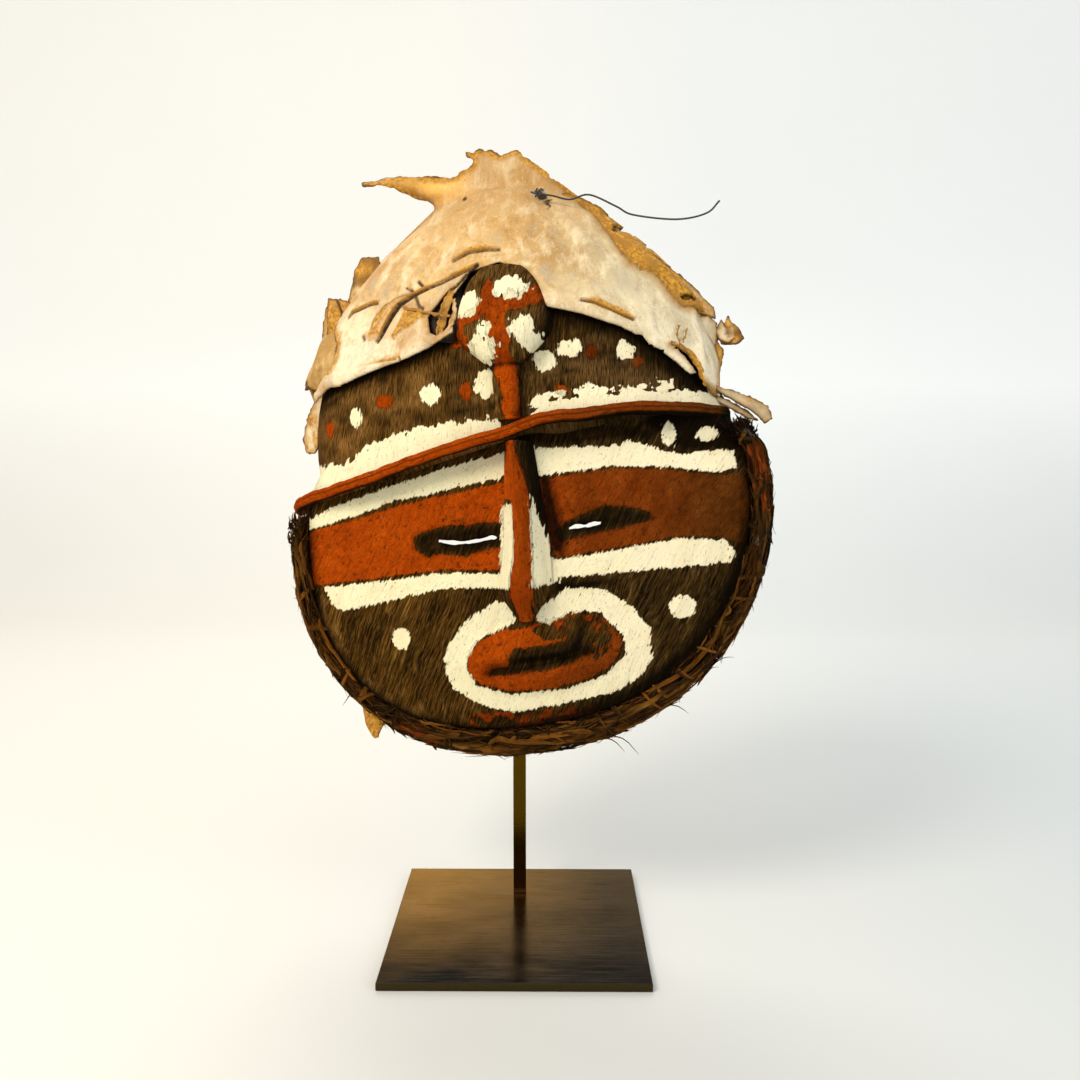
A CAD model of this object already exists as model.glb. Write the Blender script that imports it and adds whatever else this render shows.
import bpy
import numpy as np
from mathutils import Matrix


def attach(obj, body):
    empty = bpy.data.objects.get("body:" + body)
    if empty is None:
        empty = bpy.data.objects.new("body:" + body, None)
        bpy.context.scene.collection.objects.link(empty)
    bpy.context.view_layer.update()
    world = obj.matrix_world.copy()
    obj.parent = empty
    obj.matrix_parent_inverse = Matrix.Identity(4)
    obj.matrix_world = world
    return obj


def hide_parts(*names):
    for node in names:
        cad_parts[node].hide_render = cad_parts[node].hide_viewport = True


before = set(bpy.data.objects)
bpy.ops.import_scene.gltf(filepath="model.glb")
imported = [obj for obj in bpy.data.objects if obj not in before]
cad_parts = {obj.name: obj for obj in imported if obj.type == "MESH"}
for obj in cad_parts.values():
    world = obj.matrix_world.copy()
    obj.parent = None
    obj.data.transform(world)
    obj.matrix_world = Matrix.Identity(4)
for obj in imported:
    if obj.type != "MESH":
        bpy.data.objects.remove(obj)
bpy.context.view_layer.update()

DEG = np.pi / 180

# Camera

camera = bpy.data.objects.new("camera", bpy.data.cameras.new("camera"))
camera.data.sensor_width = 36
camera.data.lens = 34.67
camera.location = (0.0185, -0.6098, 0.2985)
camera.rotation_euler = ((90 - 5.67) * DEG, 0, 0.48 * DEG)
bpy.context.collection.objects.link(camera)
bpy.context.scene.camera = camera

# Numbers and formulas of the CAD model. The mask has its own frame in mm: x to the right, y back, z up

MASK_PLACE = np.array([9.0, -10.0, 250.0])
MASK_YAW, MASK_LEAN, MASK_ROLL = 10 * DEG, 4 * DEG, 6 * DEG

FACE_X, FACE_Z = -2.5, 8.0
FACE_RADIUS = 138
# The crown: half its breadth at the brow, its axis, its depths before and behind the axis, its foot
# and its height
CROWN_HALF, CROWN_Y = 129.5, 25
CROWN_FRONT, CROWN_BACK = 63, 42
CROWN_FOOT, CROWN_HEIGHT = 45, 180
BROW_TUCK = 6.4
# How far below the brow's line the face cloth ends, behind the stick
TUCK_BELOW_BROW = 0.6
MOUTH_X, MOUTH_Z, MOUTH_TURN = 1, -77, 5 * DEG
MOUTH_HALF_LENGTH, MOUTH_HALF_HEIGHT = 46, 21


def clamp01(t):
    return np.clip(t, 0, 1)


def smooth(a, b, t):
    s = clamp01((t - a) / (b - a))
    return s * s * (3 - 2 * s)


def mix(a, b, t):
    return a + (b - a) * t


def bell(t):
    """1 at 0, falling away on both sides."""
    return np.exp(-t * t)


def mask_turn():
    c, s = np.cos, np.sin
    y, l, r = MASK_YAW, MASK_LEAN, MASK_ROLL
    about_y = np.array([[c(r), 0, -s(r)], [0, 1, 0], [s(r), 0, c(r)]])
    about_x = np.array([[1, 0, 0], [0, c(l), s(l)], [0, -s(l), c(l)]])
    about_z = np.array([[c(y), s(y), 0], [-s(y), c(y), 0], [0, 0, 1]])
    return about_z @ about_x @ about_y


MASK_TURN = mask_turn()


def to_row(points):
    """From the mask's own frame in mm to the row's frame in metres."""
    return (np.asarray(points, float) @ MASK_TURN.T + MASK_PLACE) / 1000


def rim_radius(angle):
    jowl = 18 * bell((angle + 139 * DEG) / (37 * DEG))
    return FACE_RADIUS + jowl - 5 * smooth(8.5 * DEG, 15.5 * DEG, angle)


def hoop_width(angle):
    return 10 + 5 * bell((angle + 90 * DEG) / (40 * DEG))


def brow_height(x):
    return 51 + 0.21 * x - 0.00175 * np.maximum(x, 0) ** 2


def face_angle(x, z):
    angle = np.arctan2(z - FACE_Z, x - FACE_X)
    return np.where(angle > np.pi / 2, angle - 2 * np.pi, angle)


def panel_radius(angle):
    turned = np.where(angle > np.pi / 2, angle - 2 * np.pi, angle)
    in_hoop = rim_radius(turned) - hoop_width(turned) - 0.9
    near, far = np.zeros_like(angle), np.full_like(angle, 276.0)
    for _ in range(20):
        reach = (near + far) / 2
        x = FACE_X + reach * np.cos(angle)
        above = FACE_Z + reach * np.sin(angle) - (brow_height(x) - TUCK_BELOW_BROW)
        far = np.where(above > 0, reach, far)
        near = np.where(above > 0, near, reach)
    apart = np.maximum(2 - np.abs(in_hoop - near), 0) / 2
    return np.minimum(in_hoop, near) - apart * apart / 2


def panel_dome(x, z):
    out = np.hypot(x - FACE_X, z - FACE_Z) / (rim_radius(face_angle(x, z)) - 10)
    return -4 - 18 * (1 - np.minimum(1, out * out))


def mouth_relief(x, z):
    right, up = x - MOUTH_X, z - MOUTH_Z
    along = right * np.cos(MOUTH_TURN) + up * np.sin(MOUTH_TURN)
    across = up * np.cos(MOUTH_TURN) - right * np.sin(MOUTH_TURN)
    out = np.hypot(along / MOUTH_HALF_LENGTH, across / MOUTH_HALF_HEIGHT)
    mound = 5 * (1 - smooth(0.5, 1.15, out))
    groove = 1 - smooth(0, 1, np.abs(across + 3) / 5)
    return mound - 4.5 * groove * (1 - smooth(0.6, 0.85, np.abs(along) / MOUTH_HALF_LENGTH))


# Each eye's middle and length, and the slits cut through for them with their half widths
EYES = [(-36, -6, 36), (35, -5, 23)]
SLITS = [([(-54, -5.5), (-48, -7.2), (-38, -8.4), (-28, -8.2), (-21, -7.2), (-16.5, -7.4)],
          [0.4, 1.15, 1.0, 1.25, 1.4, 0.4]),
         ([(23, -5.8), (28, -5), (33, -5.5), (38, -4.6), (44, -4.8)], [0.4, 1.2, 0.8, 1.2, 0.2])]


def eye_relief(x, z):
    sunk = 0
    for eye_x, eye_z, _ in EYES:
        sunk = sunk + 3 * (1 - smooth(0.3, 1, np.hypot((x - eye_x) / 26, (z - eye_z - 3) / 9)))
    return -sunk


def panel_front(x, z):
    return panel_dome(x, z) - mouth_relief(x, z) - eye_relief(x, z)


def up_crown(z):
    return clamp01((z - CROWN_FOOT) / CROWN_HEIGHT)


def crown_shrink(z):
    return (1 - up_crown(z) ** 2.5) ** 1.35


def crown_middle(z):
    return -11.5 + 11.5 * up_crown(z) ** 2.2


def crown_half(z, left):
    bulge = smooth(95, 150, z) - smooth(200, 222, z)
    return CROWN_HALF * crown_shrink(z) + 6 * bulge * left


def crown(phi, z, grow):
    depth = np.where(np.cos(phi) > 0, CROWN_FRONT, CROWN_BACK)
    wide = np.maximum(crown_half(z, np.sin(phi) < 0) + grow, 1)
    deep = np.maximum(depth * crown_shrink(z) + grow, 1)
    x = crown_middle(z) + wide * np.sin(phi)
    return np.stack([x, CROWN_Y - deep * np.cos(phi), z + 0 * phi], -1)


def flare(phi, above):
    widest = mix(11, 6, (np.sin(phi) + 1) / 2)
    return widest * np.sin(phi) ** 2 * (1 - smooth(0, 22, above))


def brow_point(phi, grow):
    point = crown(phi, np.full_like(phi, CROWN_FOOT), grow + flare(phi, 0))
    point[..., 2] = brow_height(point[..., 0])
    return point


def shelf_point(phi, lift):
    point = brow_point(phi, -BROW_TUCK)
    front = panel_dome(point[..., 0], point[..., 2]) - 1.3
    room = np.maximum(front - point[..., 1], 0)
    drop = mix(5, 12, smooth(8 * DEG, 18 * DEG, phi))
    point[..., 1] += room
    point[..., 2] += lift - mix(2, drop, clamp01(room / 15))
    return point


# Noise and distances


def noise(seed, x, y):
    """Smooth noise from -1 to 1, one bump a unit."""
    grid = np.random.default_rng(seed).uniform(-1, 1, (256, 256))
    x, y = np.broadcast_arrays(x, y)
    i, j = np.floor(x).astype(int), np.floor(y).astype(int)
    f, g = x - i, y - j
    f, g = f * f * (3 - 2 * f), g * g * (3 - 2 * g)
    i, j, i1, j1 = i & 255, j & 255, (i + 1) & 255, (j + 1) & 255
    low = grid[i, j] * (1 - f) + grid[i1, j] * f
    high = grid[i, j1] * (1 - f) + grid[i1, j1] * f
    return low * (1 - g) + high * g


def layered(seed, x, y, count=3):
    total = 0
    for k in range(count):
        total = total + noise(seed + k, x * 2**k, y * 2**k) / 2**k
    return total


def to_segment(x, z, start, end):
    """The share of the way along a straight line where it is nearest, and its distance there."""
    (x0, z0), (x1, z1) = start, end
    dx, dz = x1 - x0, z1 - z0
    t = clamp01(((x - x0) * dx + (z - z0) * dz) / (dx * dx + dz * dz + 1e-9))
    return t, np.hypot(x - x0 - t * dx, z - z0 - t * dz)


def in_outline(x, z, outline):
    """Distance to an outline, more than 0 inside it."""
    best = np.full(np.shape(x), 1e9)
    inside = np.zeros(np.shape(x), bool)
    for start, end in zip(outline, outline[1:] + outline[:1]):
        best = np.minimum(best, to_segment(x, z, start, end)[1])
        (x0, z0), (x1, z1) = start, end
        if z1 != z0:
            inside ^= ((z0 > z) != (z1 > z)) & (x < x0 + (z - z0) / (z1 - z0) * (x1 - x0))
    return np.where(inside, best, -best)


def on_line(x, z, route, half):
    """How far inside a line of that half width a point is; half may be one number a corner."""
    halves = np.broadcast_to(half, len(route))
    best = np.full(np.shape(x), -1e9)
    for k in range(len(route) - 1):
        t, away = to_segment(x, z, route[k], route[k + 1])
        best = np.maximum(best, mix(halves[k], halves[k + 1], t) - away)
    return best


def in_spots(x, z, spots):
    """How far inside the nearest of some spots (x, z, width, height) a point is."""
    best = np.full(np.shape(x), -1e9)
    for cx, cz, wide, high in spots:
        out = np.hypot((x - cx) / (wide / 2), (z - cz) / (high / 2))
        best = np.maximum(best, (1 - out) * min(wide, high) / 2)
    return best


def blur(values, times):
    for _ in range(times):
        padded = np.pad(values, [(1, 1), (1, 1)] + [(0, 0)] * (values.ndim - 2), mode="edge")
        values = (padded[:-2, 1:-1] + padded[2:, 1:-1] + padded[1:-1, :-2] + padded[1:-1, 2:]) / 4
    return values


def unit(vectors, axis=-1):
    return vectors / (np.linalg.norm(vectors, axis=axis, keepdims=True) + 1e-12)


def grid_normals(points, times=0):
    along_v, along_u = np.gradient(blur(points, times), axis=(0, 1))
    return unit(np.cross(along_u, along_v))


def most(*fields):
    """The largest of several distances at each point."""
    return np.maximum.reduce(np.broadcast_arrays(*fields))


def least(*fields):
    return np.minimum.reduce(np.broadcast_arrays(*fields))


def in_outlines(x, z, outlines):
    return most(*[in_outline(x, z, outline) for outline in outlines])


def on_lines(x, z, lines):
    return most(*[on_line(x, z, line, half) for line, half in lines])


def triples(across, along):
    """The two numbers of a grain at each point, as a vector."""
    across, along = np.broadcast_arrays(across, along)
    return np.stack([across, along, 0 * across], -1)


def waves(x, z, *terms):
    """Sum of noises. A term is an amount, a seed and the breadth and height of a bump."""
    return sum(amount * noise(seed, x / wide, z / high) for amount, seed, wide, high in terms)


# A painted distance that no paint reaches
NONE = -9.0


def only(where, field):
    """A painted distance in one region alone."""
    return np.where(where, field, NONE)


# Meshes

# Paints that lie on the front of a sheet and not on its back
PAINTS = ("white", "red")


def mesh_object(name, points, faces, material):
    mesh = bpy.data.meshes.new(name)
    mesh.from_pydata(points, [], faces)
    mesh.shade_smooth()
    mesh.materials.append(material)
    shown = bpy.data.objects.new(name, mesh)
    bpy.context.collection.objects.link(shown)
    return shown


def piece(name, points, faces, material, replaced=(), fields=None):
    """A mesh piece that rides the root. fields are numbers, or triples, for each point."""
    points = to_row(points).reshape(-1, 3)
    shown = mesh_object(name, points.tolist(), [list(map(int, f)) for f in faces], material)
    for key, values in (fields or {}).items():
        values = np.asarray(values, np.float32)
        if values.size == 1:
            values = np.full(len(points), values)
        kind = "FLOAT_VECTOR" if values.size == points.size else "FLOAT"
        data = shown.data.attributes.new(key, kind, "POINT").data
        data.foreach_set("vector" if kind == "FLOAT_VECTOR" else "value", values.ravel())
    shown.data.validate()
    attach(shown, "root")
    if replaced:
        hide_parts(*replaced)
    return shown


def shifted(cells):
    """The four neighbours of each cell, below, right, above and left, in a grid padded by one."""
    return [cells[:-2, 1:-1], cells[1:-1, 2:], cells[2:, 1:-1], cells[1:-1, :-2]]


def corners_of(grid):
    """The four corners of each cell of a grid, in turn round it."""
    return [grid[:-1, :-1], grid[:-1, 1:], grid[1:, 1:], grid[1:, :-1]]


def one_island(keep):
    """The largest connected patch of the kept cells, none of them touching at a corner alone."""
    for _ in range(4):
        a, b, c, d = corners_of(keep)
        corner = (a & c & ~b & ~d) | (b & d & ~a & ~c)
        if not corner.any():
            break
        keep = keep.copy()
        for cells in corners_of(keep):
            cells |= corner
    label = np.where(keep, np.arange(1, keep.size + 1).reshape(keep.shape), 0)
    for _ in range(2000):
        spread = np.where(keep, most(label, *shifted(np.pad(label, 1))), 0)
        if (spread == label).all():
            break
        label = spread
    found, counts = np.unique(label[label > 0], return_counts=True)
    return label == found[np.argmax(counts)]


def two_skins(front, back, keep):
    """Faces of a closed sheet from two grids of points, with walls round the kept cells."""
    rows, cols = front.shape[:2]
    n = rows * cols
    corners = corners_of(np.arange(n).reshape(rows, cols))
    a, b, c, d = [corner[keep] for corner in corners]
    faces = [np.stack([a, b, c, d], -1), np.stack([a + n, d + n, c + n, b + n], -1)]
    for k, beside in enumerate(shifted(np.pad(keep, 1))):
        wall = keep & ~beside
        p, q = corners[k][wall], corners[(k + 1) % 4][wall]
        faces.append(np.stack([p, p + n, q + n, q], -1))
    used, faces = np.unique(np.concatenate(faces), return_inverse=True)
    points = np.concatenate([front.reshape(-1, 3), back.reshape(-1, 3)])[used]
    return points, faces.reshape(-1, 4), used


def on_both_skins(fields, size, used):
    """Fields of a grid of that size, for the points of its two skins that are used."""
    return {key: np.concatenate([values.reshape(size, -1)] * 2)[used] for key, values in fields.items()}


def grid_of(spans, cells):
    return np.meshgrid(*[np.linspace(*span, count + 1) for span, count in zip(spans, cells)])


def sheet(surface, spans, cells, thick=2.0, relief=None, inside=None, fields=None, smoothing=3):
    """A closed sheet over a grid of (u, v). surface gives its points, inside a distance that is
    more than 0 on the sheet, relief how far its points stand out, fields its painted distances.
    A sheet whose thickness is a function keeps its back clear of the relief."""
    u, v = grid_of(spans, cells)
    keep = np.ones((cells[1], cells[0]), bool)
    if inside:
        depth = inside(u, v, surface(u, v))
        a, b, c, d = corners_of(depth)
        keep = one_island(a + b + c + d > 0)
        near = corners_of(np.pad(keep, 1, mode="edge"))
        rim = np.any(near, 0) & ~np.all(near, 0)
        slopes = np.gradient(depth)
        steep = slopes[0] ** 2 + slopes[1] ** 2 + 1e-6
        moves = [np.where(rim, np.clip(-depth * slope / steep, -0.7, 0.7), 0) for slope in slopes]
        u = u + moves[1] * (spans[0][1] - spans[0][0]) / cells[0]
        v = v + moves[0] * (spans[1][1] - spans[1][0]) / cells[1]
    points = surface(u, v)
    normal = grid_normals(points, smoothing)
    back = points - normal * (thick(u, v)[..., None] if callable(thick) else thick)
    if relief:
        lift = normal * relief(u, v, points)[..., None]
        points = points + lift
        if not callable(thick):
            back = back + lift
    verts, faces, used = two_skins(points, back, keep)
    shown = on_both_skins(fields(u, v, points), u.size, used)
    for key in PAINTS:
        if key in shown:
            shown[key] = only((used < u.size)[:, None], shown[key])
    return verts, faces, shown


def sheet_piece(name, material, slot, replaced, surface, **options):
    verts, faces, fields = sheet(surface, **options)
    return piece(name, verts, faces, material, replaced, fields)


def regridded(function, places):
    """The same function over a grid whose columns and rows are spread by places."""
    return lambda u, v, *points: function(*places(u, v), *points)


def joined(parts):
    """One set of points, faces and fields from several."""
    points, faces, fields, first = [], [], {}, 0
    for part_points, part_faces, part_fields in parts:
        points.append(np.asarray(part_points).reshape(-1, 3))
        count = len(points[-1])
        faces += [[first + int(i) for i in face] for face in part_faces]
        first += count
        for key, values in part_fields.items():
            values = np.full(count, values) if np.ndim(values) == 0 else values
            fields.setdefault(key, []).append(values.reshape(count, -1))
    return np.concatenate(points), faces, {key: np.concatenate(v) for key, v in fields.items()}


def joined_piece(name, parts, material):
    points, faces, fields = joined(parts)
    piece(name, points, faces, material, (), fields)


def tube_faces(rings, size):
    """Faces of a tube of rings of points, with its two ends closed."""
    a = np.arange(size)
    b = (a + 1) % size
    walls = [np.stack([a, b, b + size, a + size], -1) + r * size for r in range(rings - 1)]
    ends = [list(range(size))[::-1], list(range((rings - 1) * size, rings * size))]
    return np.concatenate(walls).tolist() + ends


def whole_turn(size):
    return np.linspace(0, 2 * np.pi, size, endpoint=False)


def frames_along(route):
    """Two crossways directions for each point of a route."""
    tangent = unit(np.gradient(np.asarray(route, float), axis=0))
    side = unit(np.cross(tangent, [0, -1, 0.001]))
    return side, np.cross(side, tangent)


def spokes(route, turn):
    """Arrows of one mm from each point of a route, at the given turns round it."""
    side, out = frames_along(route)
    return side[:, None] * np.cos(turn)[:, None] + out[:, None] * np.sin(turn)[:, None]


def resample(route, count):
    """Points spaced evenly on a smooth curve through a route."""
    route = np.asarray(route, float)
    fine = []
    padded = np.concatenate([[2 * route[0] - route[1]], route, [2 * route[-1] - route[-2]]])
    for k in range(1, len(padded) - 2):
        a, b, c, d = padded[k - 1 : k + 3]
        t = np.linspace(0, 1, 12, endpoint=False)[:, None]
        fine.append(0.5 * (2 * b + (c - a) * t + (2 * a - 5 * b + 4 * c - d) * t**2
                           + (3 * b - a - 3 * c + d) * t**3))
    fine = np.concatenate(fine + [route[-1:]])
    reach = np.concatenate([[0], np.cumsum(np.linalg.norm(np.diff(fine, axis=0), axis=1))])
    at = np.linspace(0, reach[-1], count)
    return np.stack([np.interp(at, reach, fine[:, k]) for k in range(fine.shape[1])], -1)


# Materials


class Tree:
    """A small helper that adds nodes to a material."""

    def __init__(self, name):
        self.material = bpy.data.materials.new(name)
        self.material.use_nodes = True
        self.nodes = self.material.node_tree.nodes
        self.links = self.material.node_tree.links
        self.shader = self.nodes["Principled BSDF"]

    def put(self, socket, value):
        if isinstance(value, bpy.types.NodeSocket):
            self.links.new(value, socket)
        elif value is not None:
            socket.default_value = value

    def add(self, kind, inputs, out=0, **settings):
        """An output of a new node, whose inputs are given by number or name."""
        node = self.nodes.new("ShaderNode" + kind)
        for key, value in settings.items():
            setattr(node, key, value)
        for key, value in inputs.items():
            self.put(node.inputs[key], value)
        return node.outputs[out]

    def math(self, operation, a, b=None):
        return self.add("Math", {0: a, 1: b}, operation=operation)

    def times(self, a, b):
        return self.math("MULTIPLY", a, b)

    def total(self, *terms):
        """Sum of terms. A term is a value, or a value and its weight."""
        result = None
        for term in terms:
            value = self.times(*term) if isinstance(term, tuple) else term
            result = value if result is None else self.math("ADD", result, value)
        return result

    def jitter(self, *noises):
        """Sum of noises, each less its middle and times an amount."""
        return self.total(*[(self.math("SUBTRACT", noise, 0.5), amount) for noise, amount in noises])

    def field(self, name):
        return self.add("Attribute", {}, "Fac", attribute_name=name)

    def vector_field(self, name):
        return self.add("Attribute", {}, "Vector", attribute_name=name)

    def place(self):
        """Where a point of the object is, in mm."""
        return self.stretched(self.add("TexCoord", {}, "Object"), 1000, 1000, 1000)

    def stretched(self, vector, x, y, z):
        return self.add("Mapping", {"Vector": vector, "Scale": (x, y, z)})

    def parts(self, vector):
        return list(self.add("SeparateXYZ", {0: vector}).node.outputs)

    def noise(self, vector, scale, detail=3.0, rough=0.55, distortion=0.0):
        """Noise at one scale, or at a scale for each of the vector's numbers."""
        if isinstance(scale, tuple):
            vector, scale = self.stretched(vector, *scale), 1
        inputs = {"Vector": vector, "Scale": scale, "Detail": detail, "Roughness": rough,
                  "Distortion": distortion}
        return self.add("TexNoise", inputs, "Fac")

    def span(self, value, low, high, to_low=0.0, to_high=1.0):
        inputs = {"Value": value, "From Min": low, "From Max": high, "To Min": to_low,
                  "To Max": to_high}
        return self.add("MapRange", inputs)

    def blend(self, factor, a, b, how="MIX"):
        a, b = [c if isinstance(c, bpy.types.NodeSocket) else (*c, 1) for c in (a, b)]
        return self.add("Mix", {0: factor, 6: a, 7: b}, 2, data_type="RGBA", blend_type=how)

    def coats(self, colour, *coats):
        """Coats laid over a colour in turn. Each is a value, where it begins and is full, the most
        strength it gets, and the coat's colour."""
        for value, low, high, strength, coat in coats:
            colour = self.blend(self.span(value, low, high, 0, strength), colour, coat)
        return colour

    def ramp(self, value, *stops):
        shown = self.add("ValToRGB", {0: value})
        ramp = shown.node.color_ramp
        while len(ramp.elements) < len(stops):
            ramp.elements.new(0.5)
        for element, (at, colour) in zip(ramp.elements, stops):
            element.position = at
            element.color = (*colour, 1)
        return shown

    def finish(self, colour, roughness, height=None, depth=0.0005, metal=0.0, specular=0.3):
        inputs = {"Base Color": colour, "Roughness": roughness, "Metallic": metal,
                  "Specular IOR Level": specular}
        for key, value in inputs.items():
            self.put(self.shader.inputs[key], value)
        if height is not None:
            bump = self.add("Bump", {"Strength": 1, "Distance": depth, "Height": height})
            self.put(self.shader.inputs["Normal"], bump)
        return self.material


def bark_paints(m, across, right, patch, fine, speck, streak, crust):
    """The red earth, duller and browner to the right, and the chalk."""
    tone = m.total((patch, 0.55), (fine, 0.45))
    warm = m.ramp(tone, (0.30, (0.30, 0.040, 0.001)), (0.5, (0.45, 0.062, 0.0015)),
                  (0.7, (0.56, 0.092, 0.004)))
    deep = m.ramp(tone, (0.32, (0.044, 0.013, 0.002)), (0.5, (0.100, 0.028, 0.003)),
                  (0.68, (0.19, 0.056, 0.008)))
    far = m.total(m.span(across, -5, 40, 0, 0.66), m.span(across, 60, 110, 0, 0.34))
    red = m.coats(
        m.blend(far, warm, deep),
        (crust, 0.44, 0.33, 0.75, (0.055, 0.013, 0.002)),
        (speck, 0.6, 0.72, 0.7, (0.07, 0.016, 0.002)),
        (streak, 0.42, 0.25, 0.8, (0.045, 0.014, 0.003)),
    )
    chalk = m.coats(
        m.blend(right, (0.81, 0.74, 0.46), (0.80, 0.71, 0.47)),
        (patch, 0.5, 0.7, 0.4, (0.74, 0.60, 0.33)),
        (streak, 0.38, 0.22, 0.7, (0.42, 0.29, 0.12)),
        (speck, 0.66, 0.72, 0.9, (0.12, 0.065, 0.02)),
    )
    return red, chalk


def painted_bark():
    """Bark cloth in fibres along the second number of "grain", with chalk and earth paint on it."""
    m = Tree("painted_bark")
    grain = m.vector_field("grain")
    streak = m.noise(grain, (0.75, 0.035, 1), 4, 0.62)
    fine = m.noise(grain, (2.6, 0.16, 1), 3, 0.6)
    patch = m.noise(grain, (0.06, 0.035, 1), 3, 0.5)
    tooth = m.noise(grain, (0.62, 0.11, 1), 3, 0.6)
    wander = m.noise(grain, (0.2, 0.08, 1), 2, 0.5)
    hole = m.noise(grain, (0.8, 0.25, 1), 2, 0.5)
    speck = m.noise(grain, (1.5, 0.6, 1), 2, 0.5)
    crust = m.noise(grain, (0.34, 0.22, 1), 4, 0.68, 0.5)
    across, _, _ = m.parts(m.place())
    right = m.span(across, -60, 80)
    jag = m.jitter((tooth, 6.0), (fine, 1.6), (wander, 2.6))

    light = m.span(m.total(streak, (patch, 0.35)), 0.5, 0.95)
    bark = m.ramp(light, (0.0, (0.006, 0.003, 0.0004)), (0.3, (0.034, 0.014, 0.001)),
                  (0.65, (0.11, 0.048, 0.005)), (1.0, (0.30, 0.16, 0.040)))
    fuzz = m.blend(m.span(fine, 0.4, 0.6), (0.17, 0.068, 0.009), (0.36, 0.18, 0.045))
    bark = m.coats(
        bark,
        (fine, 0.52, 0.75, 0.5, (0.29, 0.165, 0.055)),
        (m.total(m.field("tan"), jag), -1.5, 2.5, 0.8, fuzz),
        (fine, 0.49, 0.33, 0.88, (0.006, 0.003, 0.0005)),
    )
    # The light from the right is bluer
    bark = m.blend(m.times(right, 0.8), bark, (0.46, 0.56, 0.95), "MULTIPLY")

    worn = m.times(m.span(hole, 0.66, 0.72, 0, 7), m.span(patch, 0.35, 0.6))

    def paint(name, wear, edge):
        value = m.total(m.field(name), jag)
        return m.span(m.math("SUBTRACT", value, wear), -edge, edge)

    red_mask = paint("red", worn, 0.35)
    white_mask = paint("white", m.times(worn, 0.6), 0.22)
    red, chalk = bark_paints(m, across, right, patch, fine, speck, streak, crust)
    colour = m.blend(red_mask, bark, red)
    colour = m.blend(white_mask, colour, chalk)
    soot = m.span(m.total(m.field("soot"), (jag, 0.8)), -2.5, 2.5, 0, 0.93)
    soot = m.times(soot, m.span(white_mask, 0, 1, 1, 0.15))
    colour = m.blend(soot, colour, (0.004, 0.0025, 0.001))

    height = m.times(m.total((streak, 0.9), (fine, 0.8)), m.span(white_mask, 0, 1, 1, 0.5))
    height = m.math("SUBTRACT", height, m.span(hole, 0.6, 0.72, 0, 0.4))
    height = m.total(height, (white_mask, 0.55), (red_mask, m.span(crust, 0.32, 0.62, 0, 1.3)))
    return m.finish(colour, 0.95, height, 0.0011, specular=0.02)


def ivory_hide_tints(m, across, up):
    """Base, stain, pale and grey of the front hide and its flaps, warm at the left and the top."""
    right = m.span(across, -5, 60)
    top = m.span(up, 405, 440)
    tongue = m.times(m.span(up, 436, 444), m.span(across, -22, -44))
    base = m.blend(right, (0.60, 0.38, 0.14), (0.53, 0.43, 0.25))
    base = m.blend(m.span(across, -50, -100), base, (0.70, 0.51, 0.26))
    base = m.blend(top, base, (0.45, 0.265, 0.095))
    base = m.blend(m.span(up, 385, 350, 0, 0.7), base, (0.82, 0.72, 0.50))
    base = m.blend(tongue, base, (0.82, 0.46, 0.115))
    stain = m.blend(right, (0.40, 0.19, 0.035), (0.36, 0.26, 0.12))
    stain = m.blend(tongue, stain, (0.62, 0.30, 0.040))
    return base, stain, m.blend(top, (0.82, 0.68, 0.43), (0.62, 0.45, 0.24)), (0.38, 0.33, 0.24)


def golden_hide_tints(m, across, _):
    """The same four tints for the back hide, the strips and the scrap."""
    right = m.span(across, -5, 60)
    base = m.blend(right, (0.40, 0.22, 0.055), (0.36, 0.19, 0.020))
    stain = m.blend(right, (0.20, 0.090, 0.012), (0.15, 0.066, 0.004))
    return base, stain, m.blend(right, (0.60, 0.39, 0.14), (0.56, 0.36, 0.09)), (0.13, 0.080, 0.018)


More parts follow.
